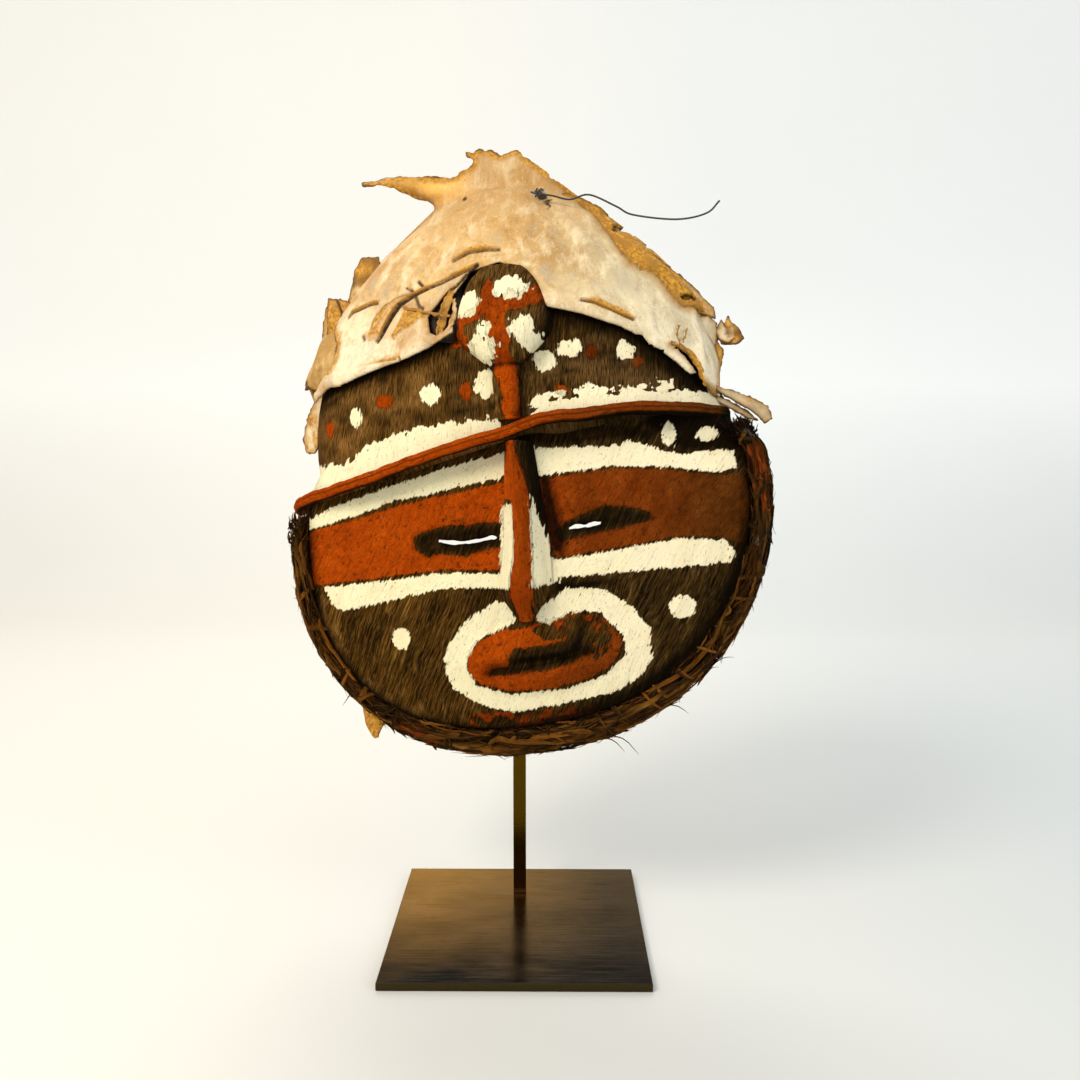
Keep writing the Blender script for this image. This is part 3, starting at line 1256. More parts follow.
def forehead_grain(p):
    x, z = p[..., 0], p[..., 2]
    return lean_grain(x * 1.05, z, 83, 23) + np.stack([0.10 * (z - 60) * x / 100, 0 * x, 0 * x], -1)


def forehead_soot(x, z, above, hem):
    return most(
        only(x > 10, smooth(30, 95, x) * 1.6 - 2.6),
        3.4 * layered(35, x / 15, z / 8, 3) - 2.5,
        3.8 * smooth(16, 24, x) * smooth(15, 3, hem - z) - 2.4,
        2.5 - np.maximum(hem - z, 0) * 1.1,
        # Under the stick on the right the cloth is dark
        only((above < -1.5) & (x > 0), mix(-0.8, 1.5, smooth(30, 80, x))),
    )


def forehead_fields(u, v, p):
    x, z = p[..., 0], p[..., 2]
    grain = forehead_grain(p)
    # Past the sides the cloth turns away, so that its breadth is measured round it
    turned = crown_half(z, x < 0) * (np.abs(u) * DEG - 1.1)
    grain[..., 0] += np.where(np.abs(u) > 63, np.sign(u) * turned, 0)
    above = z - brow_height(x)
    white = in_outlines(x, z, [ABOVE_WHITE_LEFT, ABOVE_WHITE_RIGHT])
    white = most(np.where(above < 0, -4, white), in_spots(x, z, FOREHEAD_DOTS))
    white = np.where(np.abs(u) > 72, np.minimum(white, (80 - np.abs(u)) * 0.8), white)
    white = white + waves(x, z, (1.3, 38, 1.7, 6), (0.9, 39, 2.2, 2))
    # The upper edges of the bands are brushed thin, most on the right
    thin = smooth(0.05, 0.5, layered(36, x / 4.5, z / 2.6, 2)) * smooth(4, 9, above)
    white = white - thin * mix(2.5, 6, smooth(0, 20, x)) * (above < 26)
    hem = hide_hem(u)
    tan = mix(0.3, -0.3, smooth(-20, 40, x)) + 2.2 * noise(37, x / 13, z / 9)
    tan = tan - 3 * smooth(12, 0, hem - z)
    return {"white": white, "red": in_spots(x, z, FOREHEAD_RED), "tan": tan, "grain": grain,
            "soot": forehead_soot(x, z, above, hem)}


def forehead_relief(u, v, p):
    grain = forehead_grain(p)
    across, along = grain[..., 0], grain[..., 1]
    lift = 0.14 * noise(24, across / 3.2, along / 18) + 0.8 * layered(25, across / 24, along / 20, 2)
    lift = lift + 0.12 * noise(27, across / 2.7, along / 6) * smooth(1.0, 1.1, v)
    lift = np.where(v < 1, 0.5 * lift, lift)
    under = smooth(-6, 8, hide_hem(u) - p[..., 2])
    lift = mix(np.minimum(lift, 0), lift, under)
    return np.clip(lift, -2, 1.6) * smooth(0, 0.2, v)


def forehead_places(u, v):
    return u, np.interp(v, np.arange(len(FOREHEAD_ROWS)), FOREHEAD_ROWS)


sheet_piece("forehead_cloth", BARK, "bark_cloth", ("forehead",),
            regridded(forehead_surface, forehead_places), spans=((-92, 88), (0, LAST_ROW)),
            cells=(300, LAST_ROW), thick=2.6, smoothing=2,
            relief=regridded(forehead_relief, forehead_places),
            fields=regridded(forehead_fields, forehead_places))

# Brow stick

# Angle round the crown of the stick's right end
STICK_END = 73 * DEG


def brow_centre(phi):
    """The stick's axis, a little crooked, and the distance along it."""
    centre = brow_point(phi, 3.5 - BROW_TUCK + 0.6)
    reach = np.cumsum(np.linalg.norm(np.diff(centre, axis=0, prepend=centre[:1]), axis=1))
    centre[:, 2] += 0.7 * noise(60, reach / 24, 0 * reach) + 0.3 * noise(61, reach / 7, 0 * reach)
    centre[:, 2] += 1.6 * smooth(-100, -130, centre[:, 0]) - 1.8 * smooth(15, 45, centre[:, 0])
    return centre, reach[:, None]


def brow_fields(phi, reach, turn, right):
    low = np.sin(turn)[None] + 0 * reach
    under = 3 * (low - mix(0.75, 0.35, right))
    edge = np.minimum(reach, reach[-1] - reach) + 0 * low
    red = 3.5 - 3.5 * np.maximum(under, 0)
    red = red - 1.2 - 3 * smooth(60 * DEG, STICK_END, phi)
    red = np.where(edge < 0.6, -3, red)
    white = only(low < -0.75, 1.2 * noise(64, reach / 9, turn) - 0.9)
    soot = most(only(under > 0, 3 * under), smooth(64 * DEG, STICK_END, phi) * 6 - 3)
    return {"red": red, "white": white, "soot": soot, "tan": NONE,
            "grain": triples(turn[None] * 3.4, reach)}


def brow_piece():
    rings, size = 420, 24
    phi = np.linspace(-87.5 * DEG, STICK_END, rings)
    centre, reach = brow_centre(phi)
    along = np.gradient(centre, axis=0)
    across = unit(np.cross(along, [0, 0, 1]))
    lift = unit(np.cross(across, along))
    turn = whole_turn(size)
    phi = phi[:, None]
    right = smooth(5 * DEG, 40 * DEG, phi)
    radius = 3.45 + 0.25 * noise(62, reach / 12, turn / 1.5) + 0.16 * noise(63, reach / 3, turn * 1.4)
    radius = radius * mix(1, 1.12, right)
    # The left end is squared off and a little thicker
    radius = radius * (1 + 0.22 * smooth(-83 * DEG, -87 * DEG, phi))
    radius = radius * (1 - 0.35 * smooth(STICK_END - 3 * DEG, STICK_END, phi))
    points = centre[:, None] + across[:, None] * (radius * np.cos(turn))[..., None] \
        - lift[:, None] * (radius * np.sin(turn))[..., None]
    piece("brow_stick", points, tube_faces(rings, size), BARK, ("brow_roll",),
          brow_fields(phi, reach, turn, right))


brow_piece()

# Knob and nose

KNOB_LOW, KNOB_HIGH = 56, 145
KNOB_HALF, NECK_HALF = 26.5, 6.5
KNOB_LEAN = 84
KNOB_DOTS = [(6, 126, 17, 13), (-18.5, 120, 16, 16), (-12, 94, 19, 18), (-8, 104, 8, 8),
             (12, 103, 13, 15), (16, 97, 12, 14)]
# Lines of red and of soot on the knob, with their half widths
KNOB_RED = [([(-5, 128), (-3, 118), (-1, 100), (0, 82), (1, 70), (2, 50)], [2.5, 6, 6, 5, 4.5, 5]),
            ([(-24, 112), (-8, 116), (8, 118), (27, 122)], [3, 5, 5.5, 5]),
            ([(-26, 104), (-20, 92), (-12, 84)], [5, 4, 2])]
KNOB_SOOT = [([(24, 128), (27, 110), (20, 92)], [4, 5, 3]),
             ([(-26, 96), (-20, 88), (-8, 84)], [2, 2, 1])]
PINCH = [(-9, 85), (0, 86), (9, 85)]


def knob_half(z):
    t = (z - KNOB_LOW) / (KNOB_HIGH - KNOB_LOW)
    neck = mix(NECK_HALF, KNOB_HALF, smooth(0.26, 0.56, t))
    dome = KNOB_HALF * np.sqrt(np.maximum(0, 1 - ((t - 0.56) / 0.44) ** 2))
    return np.where(t < 0.56, neck, dome)


def knob_surface(raised):
    def surface(u, v):
        z = mix(KNOB_LOW, KNOB_HIGH, v)
        half = np.maximum(knob_half(z), 1)
        base = 0.3 - BROW_TUCK
        sine = (-1 + u * half - crown_middle(z)) / (CROWN_HALF * crown_shrink(z) + base)
        point = crown(np.arcsin(sine), z, base)
        if raised:
            point[..., 1] -= 1.5 + 17 * np.sqrt(np.maximum(1 - u * u, 0)) * (half / KNOB_HALF) ** 0.7
        return point

    return surface


def two_grid_piece(name, surface, cells, node, fields, relief):
    """A closed piece between its raised outer surface and its inner one, over u in -1..1, v in 0..1."""
    u, v = grid_of(((-1, 1), (0, 1)), cells)
    outer, inner = surface(True)(u, v), surface(False)(u, v)
    normal = grid_normals(outer, 2)
    outer_fields = fields(u, v, outer)
    edge = smooth(0, 0.12, 1 - np.abs(u)) * smooth(0, 0.05, np.minimum(v, 1 - v))
    outer = outer + normal * (relief(u, v, outer) * edge)[..., None]
    points, faces, used = two_skins(outer, inner, np.ones((cells[1], cells[0]), bool))
    piece(name, points, faces, BARK, (node,), on_both_skins(outer_fields, u.size, used))


def knob_fields(u, v, p):
    x, z = p[..., 0], p[..., 2]
    white = in_spots(x, z, KNOB_DOTS) + waves(x, z, (1.2, 31, 1.7, 5), (1.5, 32, 2.6, 2.4))
    # Holes worn in the dot at the lower left
    white = white - 4 * smooth(0.45, 0.9, layered(28, x / 2.2, z / 2.6, 2)) * (x < 0) * (z < 108)
    red = on_lines(x, z, KNOB_RED)
    red = red + 2.2 * layered(29, x / 5, z / 7, 2) * smooth(66, 84, z) - 0.4
    dulled = np.minimum(red, 0.6) + 1.3 * noise(30, x / 6, z / 8) - 2.2
    soot = most(
        only(z > 84, dulled),
        only(np.abs(u) > 0.86, 10 * (np.abs(u) - 0.86)),
        on_line(x, z, PINCH, [1.3, 0.8, 1.5]) * 2,
        on_line(x, z, [(9, 84), (7, 70), (6, 58)], 2) + 1,
        on_lines(x, z, KNOB_SOOT),
    )
    return {"white": white, "red": red, "soot": soot, "tan": -0.5 + 0 * x,
            "grain": lean_grain(x, z, KNOB_LEAN, 33)}


def knob_relief(u, v, p):
    x, z = p[..., 0], p[..., 2]
    grain = lean_grain(x, z, KNOB_LEAN, 33)
    across, along = grain[..., 0], grain[..., 1]
    lift = 0.9 * layered(34, across / 17, along / 15, 2) + 0.35 * noise(36, across / 3, along / 12)
    pinch = on_line(x, z, [(-10, 85), (0, 86), (9, 85)], 0.1)
    return lift - 2.2 * bell(pinch / 3.2) + 1.0


two_grid_piece("knob_cloth", knob_surface, (104, 130), "crest_knob", knob_fields, knob_relief)


NOSE_LOW, NOSE_HIGH = -56, 44
NOSE_HALF_LOW, NOSE_HALF_HIGH, NOSE_RISE = 17, 8, 21


def nose_foot(v):
    """How far the nose has opened out above its foot."""
    return smooth(-0.1, 0.23, v)


def nose_half(v):
    return mix(NOSE_HALF_LOW, NOSE_HALF_HIGH, v) * nose_foot(v)


def nose_surface(raised):
    def surface(u, v):
        z = mix(NOSE_LOW, NOSE_HIGH, v)
        # The foot stands a little to the left, as in the photo
        x = 0.5 + u * nose_half(v) - 5 * smooth(0.55, 0, v)
        ridge = (1 - np.abs(u) ** 1.3) * NOSE_RISE * nose_foot(v)
        return np.stack([x, panel_front(x, z) - 1 - ((1 + ridge) if raised else 0), z], -1)

    return surface


def nose_grain(p):
    return lean_grain(p[..., 0] * 1.6, p[..., 2], 80, 53)


def nose_fields(u, v, p):
    z = p[..., 2]
    half = nose_half(v)
    # Where the red of the ridge ends at its left and right, at some heights
    heights = [-56, -50, -35, -17, 0, 12, 14, 18, 34, 45]
    left = np.interp(z, heights, [-0.75, -0.5, -0.36, -0.34, -0.34, -0.38, -1.2, -1.2, -1.05, -0.6])
    right = np.interp(z, heights, [0.75, 0.5, 0.40, 0.46, 0.48, 0.55, 0.54, 0.52, 0.27, 0.1])
    # The chalk on the right flank ends along a slanting limit, sooty beyond it
    limit = np.interp(z, [-35, -12, 0, 12, 16], [1.1, 0.96, 0.80, 0.62, 0.5])
    red = np.minimum(u - left, right - u) * half + 0.5
    left_white = least((left - 0.03 - u) * half, z + 36, 10 - z)
    right_white = least((u - right - 0.03) * half, (limit - u) * half, z + 36, 14 - z)
    white = most(left_white, right_white) + 0.3
    soot = np.minimum((u - np.maximum(limit, right)) * half, z + 20) + 0.8
    soot = only((white <= 0.5) & (red <= 0.8), soot)
    return {"white": white, "red": red, "soot": soot, "tan": -1.5 + 0 * z, "grain": nose_grain(p)}


def nose_relief(u, v, p):
    grain = nose_grain(p)
    across, along = grain[..., 0], grain[..., 1]
    return 0.3 * noise(54, across / 3, along / 16) + 0.7 * layered(55, across / 12, along / 18, 2) - 0.2


two_grid_piece("nose_cloth", nose_surface, (76, 150), "nose_ridge", nose_fields, nose_relief)

# Hide, front sheet

KNOT_X, KNOT_Z = 21, 187
WRAP = 0.82
WRAP_ANGLE = np.arcsin(WRAP)
WRAP_RATE = 1 / np.sqrt(1 - WRAP * WRAP)


def unrolled(phi, z):
    """Place across the unrolled front sheet of an angle round the crown."""
    side = np.sign(phi)
    size = np.abs(phi)
    r = np.where(size < WRAP_ANGLE, np.sin(size), WRAP + (size - WRAP_ANGLE) / WRAP_RATE)
    return crown_middle(z) + crown_half(z, phi < 0) * r * side


def wrap_angle(x, z):
    r = (x - crown_middle(z)) / np.maximum(crown_half(z, x < crown_middle(z)), 1)
    size = np.abs(r)
    return np.sign(r) * np.where(size < WRAP, np.arcsin(np.minimum(size, WRAP)),
                                 WRAP_ANGLE + (size - WRAP) * WRAP_RATE)


def hide_surface(x, z):
    phi = wrap_angle(x, z)
    wrapped = crown(np.clip(phi, -1.75, 1.75), z, 0.0)
    # The peak and the long tongue stand up as one flat fold
    fold = 17 - 3.5 * bell(x / 13) * (1 - smooth(206, 222, z))
    tongue = smooth(-28, -80, x)
    fold = fold - 2.5 * np.sin(tongue * 2.2) + 3.2 * tongue * ((z - 210) / 5) ** 2 * smooth(-45, -60, x)
    flat = np.stack([x, fold, z], -1)
    return mix(wrapped, flat, smooth(186, 202, z)[..., None])


# The torn right edge from the bottom up, and the crest from right to left, as seen from the front
RIGHT_EDGE = [(111, 60), (114, 80), (113, 92), (106, 109), (95, 114), (82, 132), (70, 140), (64, 150),
              (49, 174), (38, 187)]
CREST = [(20, 207), (13, 214), (9, 218), (6, 219.5), (2, 218.5), (-3, 217.5), (-8, 221.5), (-12, 222),
         (-15, 223), (-19, 222), (-24, 223), (-22, 219), (-19, 217), (-20, 214), (-26, 213),
         (-31, 210), (-38, 209), (-47, 211), (-60, 213), (-68, 213), (-73, 214.5), (-80, 214),
         (-89, 214.5), (-89, 212.8), (-87, 212), (-76, 209), (-67, 207), (-58, 202), (-53, 198),
         (-51, 195)]


def place_at(degrees, z):
    """Place on the unrolled sheet of an angle round the crown and a height."""
    return float(unrolled(degrees * DEG, float(z))), z


def seen_at(x, z):
    """Place on the unrolled sheet of a point of the crown seen from the front."""
    left = x < crown_middle(z)
    sine = np.clip((x - crown_middle(z)) / crown_half(z, left), -0.995, 0.995)
    return float(unrolled(np.arcsin(sine), z)), z


def hide_outline():
    outline = [place_at(degrees, z) for degrees, z in HEM if -79 < degrees < 64]
    outline += [seen_at(x, z) for x, z in RIGHT_EDGE + [(29, 197)]] + CREST
    outline += [place_at(degrees, z) for degrees, z in ((-82, 186), (-80, 170), (-79, 150), (-77, 132))]
    outline += [seen_at(x, z) for x, z in ((-112, 128), (-107, 114), (-108, 104), (-120, 92))]
    return outline


def moved(route, right, up):
    return [(x + right, z + up) for x, z in route]


HIDE_OUTLINE = hide_outline()
TEAR = [(88.8, 89.5), (93.1, 87.6), (97.3, 83.7), (101.2, 77.1), (103.4, 71.4), (105.6, 64.8)]
FOLD_LONG = [(-14.4, 146.4), (-25.4, 143.1), (-36.6, 138.8), (-44.2, 137), (-52, 134.6), (-57.5, 132.1),
             (-62.2, 128.8), (-66.9, 123.6), (-71, 118.2), (-74.2, 113.6), (-76.7, 110.3)]
FOLD_TOP = [(-54, 134), (-61.5, 132.2), (-66.4, 130.8), (-71.4, 129.1), (-75.5, 126), (-78, 123.4),
            (-79.9, 118.4)]
FOLD_LEFT = [(-77, 134.7), (-82.5, 135.6), (-90, 135), (-97, 134.1), (-99.6, 131.1)]
TUBE_END = [(-87.4, 116.1), (-84.8, 117.9), (-79, 118.5), (-73.5, 115.4), (-75.1, 110.7),
            (-82.8, 110.3)]
TUBE = [(-62, 131), (-69, 125), (-75, 119), (-80, 114)]
WEDGE = [(-57.3, 127.1), (-51.7, 124.6), (-44.7, 121.9), (-45.4, 118.3), (-51.6, 115.9), (-59.5, 112.4),
         (-65.1, 109.3), (-67.6, 112), (-63.5, 116.1), (-60.4, 121.6)]
POCKET = [(-43.5, 118.7), (-41.6, 122.1), (-37.8, 126), (-32.6, 131.9), (-28.9, 135.2), (-28.1, 127.4),
          (-28.9, 117.1), (-32, 110.3), (-38, 106.5), (-42.5, 109)]
POCKET_LINE = [(-14.4, 145.6), (-20.2, 141.5), (-25.2, 136.1), (-28.9, 132.9), (-33.4, 129),
               (-37.1, 124.4)]
PEAK_LINE = [(-28.5, 151), (-19, 154.5), (-10, 155.5), (-2, 155)]
STICK_SLIT = [(42.9, 119.4), (49.9, 117.4), (57.7, 113), (63.7, 109.7), (69.7, 106.5)]
# Lines with their half widths: golden folds, sooty creases beside them, and all the dark creases
GOLD_LINES = [(FOLD_LONG, [0.4, 0.7, 0.8, 0.9, 0.9, 0.9, 0.9, 0.9, 0.9, 0.8, 0.6]),
              (FOLD_TOP, [0.4, 0.9, 1.1, 1.2, 1.2, 1.1, 0.6]), (FOLD_LEFT, [1.6, 1.1, 0.7, 0.5, 0.3]),
              (PEAK_LINE, [0.4, 1.2, 1.2, 0.3]), (STICK_SLIT, [0.5, 1.5, 1.6, 1.3, 0.6])]
SOOTY_LINES = [(moved(FOLD_LONG, 0.6, -1.1), [0.1, 0.2, 0.2, 0.3, 0.4, 0.5, 0.6, 0.6, 0.6, 0.5, 0.3]),
               (POCKET_LINE, [0.6, 0.6, 0.5, 0.5, 0.4, 0.3]),
               ([(-49.9, 141.3), (-47.4, 138.4)], 0.5), ([(-57, 138.7), (-53.6, 136.5)], 0.3)]
DARK_LINES = SOOTY_LINES + [
    (moved(FOLD_TOP, -0.8, 1.2), 0.25), (moved(FOLD_LEFT, 0, -1.1), 0.3),
    (moved(PEAK_LINE, 0, -1.4), 0.3), (moved(STICK_SLIT, 0.3, -1.3), [0.6, 0.4, 0.3, 0.4, 0.7]),
    ([(-86.9, 115.3), (-85.5, 112.7)], 0.5), ([(-51.9, 133.4), (-49.4, 126.4), (-47, 124.5)], 0.7)]
# Ridges of the hide: a route, half the ridge's breadth, and how far it stands out
RIDGES = [([(18, 190), (-5, 192), (-22, 197), (-47, 205), (-70, 210)], 5, 2.4),
          ([(-8, 158), (-30, 155), (-50, 150), (-72, 143)], 9, 1.2),
          ([(108, 116), (108, 92), (106, 70)], 2.5, 1.4), ([(70, 143), (85, 130), (98, 116)], 3, 1.2),
          # The knotted folds beside the knob
          (TUBE, 3.0, 2.0), (FOLD_LONG, 1.1, 1.2), (FOLD_TOP, 1.0, 0.8), (FOLD_LEFT, 1.3, 0.9),
          (PEAK_LINE, 2.0, 1.2), (POCKET_LINE, 2.2, 1.0)]
DIRT = [(21.5, 188, 6, 5), (19, 190, 4, 3), (-25, 193, 3, 2.2), (25, 185, 4, 2)]


def ragged(x, z, amount):
    return amount * waves(x, z, (0.8, 70, 5, 5), (0.5, 71, 1.9, 1.9))


def hide_inside(x, z, p):
    depth = in_outline(x, z, HIDE_OUTLINE)
    # Torn edges are ragged, the hem is nearly clean
    torn = np.maximum(smooth(190, 200, z), smooth(60, 72, x) * smooth(70, 90, z))
    torn = np.maximum(torn, smooth(-95, -105, x))
    depth = depth + ragged(x, z, mix(0.1, 1.3, torn))
    depth = np.minimum(depth, -in_outline(x, z, POCKET) + ragged(x, z, 0.4))
    return np.minimum(depth, -on_line(x, z, TEAR, [0.5, 1.0, 1.4, 1.6, 1.6, 1.2]) + ragged(x, z, 0.3))


def hide_relief(x, z, p):
    lift = 1.1 * layered(72, x / 46, z / 44, 2) + 0.2 * noise(75, x / 9, z / 11)
    # Long folds drawn down from the knot
    away = np.hypot(x - KNOT_X, z - KNOT_Z)
    angle = np.arctan2(z - KNOT_Z, x - KNOT_X)
    drawn = np.cos(angle * 13 + 2.2 * noise(76, angle * 3, away / 60))
    drawn = drawn * smooth(6, 24, away) * smooth(95, 40, away)
    lift = lift + 0.6 * drawn - 2.2 * bell(away / 7)
    for line, half, amount in RIDGES:
        lift = lift + amount * bell(np.minimum(on_line(x, z, line, 0), 0) / half)
    wedge = smooth(-0.5, 2.5, in_outline(x, z, WEDGE))
    lift = lift + 2.0 * wedge * (0.7 + 0.5 * noise(79, x / 3, z / 5))
    lift = lift - 1.3 * smooth(-0.9, 0.2, on_lines(x, z, DARK_LINES))
    # The hem is turned in along its edge
    above = z - hide_hem(np.degrees(wrap_angle(x, z)))
    lift = lift + 0.5 * bell((above - 4) / 4) - 0.8 * smooth(2, 0, above)
    torn = smooth(7, 0, in_outline(x, z, HIDE_OUTLINE)) * smooth(60, 75, x) * smooth(100, 110, z)
    lift = lift + 2.0 * torn * (0.5 + 0.5 * noise(78, x / 9, z / 9))
    lift = lift * mix(1, 0.75, smooth(190, 205, z))
    return np.clip(lift, -3.6, 5)


def hide_fields(x, z, p):
    rim = in_outline(x, z, HIDE_OUTLINE)
    left_side = (x < -60) & (z < 190)
    # The clean hem isn't browned
    hem = smooth(14, 6, z - hide_hem(np.degrees(wrap_angle(x, z)))) * (np.abs(x) < 104)
    edge = least(rim + 6 * hem + 4 * smooth(20, 0, x) * (z < 150),
                 -in_outline(x, z, POCKET) + 2.2, -on_line(x, z, TEAR, 0.8) + 1)
    tongue = smooth(-34, -60, x) * smooth(192, 202, z)
    gold = most(
        on_lines(x, z, GOLD_LINES) + 0.3,
        np.minimum(in_outline(x, z, WEDGE), 1.5),
        np.minimum(in_outline(x, z, TUBE_END), 0.8),
        on_line(x, z, TUBE, 3.0) * 0.6 - 1.1,
        # The tongue, the peak's torn top, and an edge down the left side
        mix(NONE, -0.3, tongue),
        only(z > 200, 1.6 - rim * 0.55),
        only(left_side & (z > 96), 1.7 - rim * 0.42),
    )
    crease = most(
        on_lines(x, z, DARK_LINES) + 0.35,
        only(left_side & (z > 110) & (z < 185), 0.5 - rim),
        only(z > 209, 0.2 - rim * 0.8),
    )
    soot = most(
        in_spots(x, z, DIRT),
        on_line(x, z, [(24, 184), (26, 180), (25, 177)], [0.9, 0.7, 0.3]),
        on_line(x, z, TEAR, 0.4) - 0.6,
        on_lines(x, z, SOOTY_LINES) - 0.15,
    )
    return {"edge": edge, "gold": gold, "crease": crease, "soot": soot}


# Columns and rows of the grid, with their places on the sheet: closer together where the folds are
HIDE_CELLS = (270, 164)
HIDE_COLUMNS = ([0, 40, 170, HIDE_CELLS[0]], [-150, -96, -6, 134])
HIDE_ROWS = ([0, 28, 112, HIDE_CELLS[1]], [60, 98, 158, 225])


def hide_places(u, v):
    return np.interp(u, *HIDE_COLUMNS), np.interp(v, *HIDE_ROWS)


sheet_piece("hide_front", HIDE, "hide", ("hide_cap",), regridded(hide_surface, hide_places),
            spans=[(0, count) for count in HIDE_CELLS], cells=HIDE_CELLS, thick=1.3, smoothing=6,
            relief=regridded(hide_relief, hide_places), inside=regridded(hide_inside, hide_places),
            fields=regridded(hide_fields, hide_places))


def hide_strip(name, route, halves, thick, seed, material=HIDE_DARK, slot="hide_dark", cells=(8, 40),
               curl=0.0, edge=1.0, gold=NONE, soot=NONE):
    """A torn strip of hide along a route of local points, with its half width at each."""
    wide, steps = cells
    path = resample(route, steps)
    half = np.interp(np.linspace(0, 1, steps), np.linspace(0, 1, len(halves)), halves)[:, None]
    side, out = [way[:, None] for way in frames_along(path)]
    across = np.linspace(-1, 1, wide + 1)
    at = np.arange(steps)[:, None]
    wave = 0.5 * noise(seed, at / 7, across * 1.4) + 0.25 * noise(seed + 1, at / 2.5, across * 3)
    fray = 0.6 * noise(seed + 2, at / 2.2, np.sign(across)) * np.abs(across)
    body = path[:, None] + side * (half * across)[..., None]
    body = body + out * (half * (curl * across**2))[..., None]
    body = body + out * wave[..., None]
    body = body + side * fray[..., None]
    normal = grid_normals(body)
    points, faces, used = two_skins(body, body - normal * thick, np.ones((steps - 1, wide), bool))
    fields = on_both_skins({"edge": (1 - np.abs(across)) * half * 2 + edge}, body[..., 0].size, used)
    return piece(name, points, faces, material, (),
                 {**fields, "gold": gold, "crease": NONE, "soot": soot})


def on_hide(x, z, lift):
    """The point so far off the front sheet, at a place on it."""
    point = hide_surface(np.array(float(x)), np.array(float(z)))
    normal = point - np.array([crown_middle(z), CROWN_Y, z])
    normal[2] = 0
    return point + normal / np.linalg.norm(normal) * lift


# Small strips beside the pocket and at the tear: places on the sheet, lift off it, half widths,
# thickness and the rest
SMALL_STRIPS = [
    ("pocket_lining", [(-31, 138), (-34, 130), (-36, 120), (-37, 110), (-38, 104)], -4.0,
     [5, 8, 10, 9, 6], 0.9, dict(curl=-0.15, soot=2, edge=-1, seed=93)),
    ("pocket_strip", [(-30, 134), (-32, 128), (-34.5, 121.6), (-36, 115.2), (-38.5, 107)], -1.6,
     [1.2, 2.0, 2.2, 2.0, 1.0], 0.9, dict(curl=0.5, seed=90, edge=2.2, gold=0.6)),
    ("pocket_lip", [(-27.6, 127), (-27.2, 120), (-28.6, 114), (-32, 109.2), (-38, 106.4)], 1.0,
     [0.7, 1.2, 1.3, 1.2, 0.6], 1.0, dict(material=HIDE, curl=-0.5, seed=91, edge=3, slot="hide")),
    ("fold_twig", [(-57.3, 127.1), (-50.9, 124.4), (-43.9, 121.7), (-36.3, 118.7), (-28.9, 116.8)],
     2.4, [0.8, 0.8, 0.7, 0.6, 0.5], 0.9, dict(seed=99, cells=(3, 40), gold=-1.2)),
    ("twig_right", [(92.5, 101), (91, 95), (92, 90), (94, 86)], 1.6, [0.3, 0.5, 0.5, 0.3], 0.6,
     dict(soot=-0.9, seed=102, cells=(3, 40))),
    ("twig_fork", [(97, 99), (95.5, 95), (93.5, 91)], 1.6, [0.25, 0.4, 0.4], 0.5,
     dict(soot=-0.9, seed=103, cells=(3, 40))),
    ("tear_lip", [(88, 91), (93.5, 88.6), (98.4, 84.2), (102.4, 77.6), (104.6, 71.4), (106, 66)], 0.8,
     [0.3, 0.9, 1.3, 1.5, 1.4, 0.8], 1.0, dict(curl=-0.5, seed=105, edge=-0.5, gold=0.4)),
]
for name, places, lift, halves, thick, rest in SMALL_STRIPS:
    hide_strip(name, [on_hide(x, z, lift) for x, z in places], halves, thick, **rest)

# Hide, back sheet

TORN_RIGHT = RIGHT_EDGE + [(20, 198)]
TORN_LEFT = [(-126, 90), (-108, 104), (-107, 114), (-112, 128)]
# Degrees round the crown are turned into mm round the hide at this radius
BACK_RADIUS = 105
# Places in degrees round the crown times 0.7, heights, and sizes
RIGHT_NOTCHES = [(63, 164, 30, 7), (63, 154, 20, 4), (64, 178, 18, 4), (62, 119, 16, 3)]


def edge_degrees(edge, z, end):
    """Angle round the crown of an edge at a height, and the end's angle above and below it."""
    places, heights = np.array(edge).T
    away = np.abs(np.interp(z, heights, places) - crown_middle(z))
    angle = np.sign(end) * np.degrees(np.arcsin(clamp01(away / crown_half(z, end < 0))))
    return np.where((z > heights[-1]) | (z < heights[0]), end, angle)


def open_sides(z):
    """Where the front sheet's right and left edges are, in degrees round the crown by the back."""
    return edge_degrees(TORN_RIGHT, z, 88), 360 + edge_degrees(TORN_LEFT, z, -78)


def back_surface(u, v):
    right, left = open_sides(v)
    layer = mix(-3.3, 4, smooth(3, 15, np.minimum(u - right, left - u)))
    return crown(u * DEG, v, layer)


def back_inside(u, v, p):
    right, left = open_sides(v)
    around = u * DEG * np.maximum(crown_half(v, False), 20)
    half = np.maximum(crown_half(v, False), 6) * DEG
    hem = 92 + 5 * np.sin(u * 0.21) + 3 * np.sin(u * 0.47 + 1) + 3.0 * noise(120, u / 7, 0 * u)
    hem = hem + 2.0 * np.abs(noise(121, u / 2.4, 0 * u)) + 1.2 * noise(119, u / 0.9, 0 * u)
    top = 216 + 2.5 * noise(122, u / 16, 0 * u)
    depth = [
        v - hem,
        top - v,
        (u - np.maximum(right - 9, 52)) * half,
        (np.minimum(left + 9, 312 - 22 * smooth(140, 195, v)) - u) * half,
        # Notches in its edge on the right, as seen from the front
        -in_spots(u * 0.7, v, RIGHT_NOTCHES) + ragged(around, v, 0.8),
    ]
    # Two tears in the back
    for place, low, high in ((148, 84, 118), (236, 84, 108)):
        tear = [(place * DEG * BACK_RADIUS, low), ((place + 3) * DEG * BACK_RADIUS, high)]
        depth.append(-on_line(around, v, tear, [4, 0.5]) + ragged(around, v, 0.5))
    return least(*depth) + ragged(around, v, 1.2)


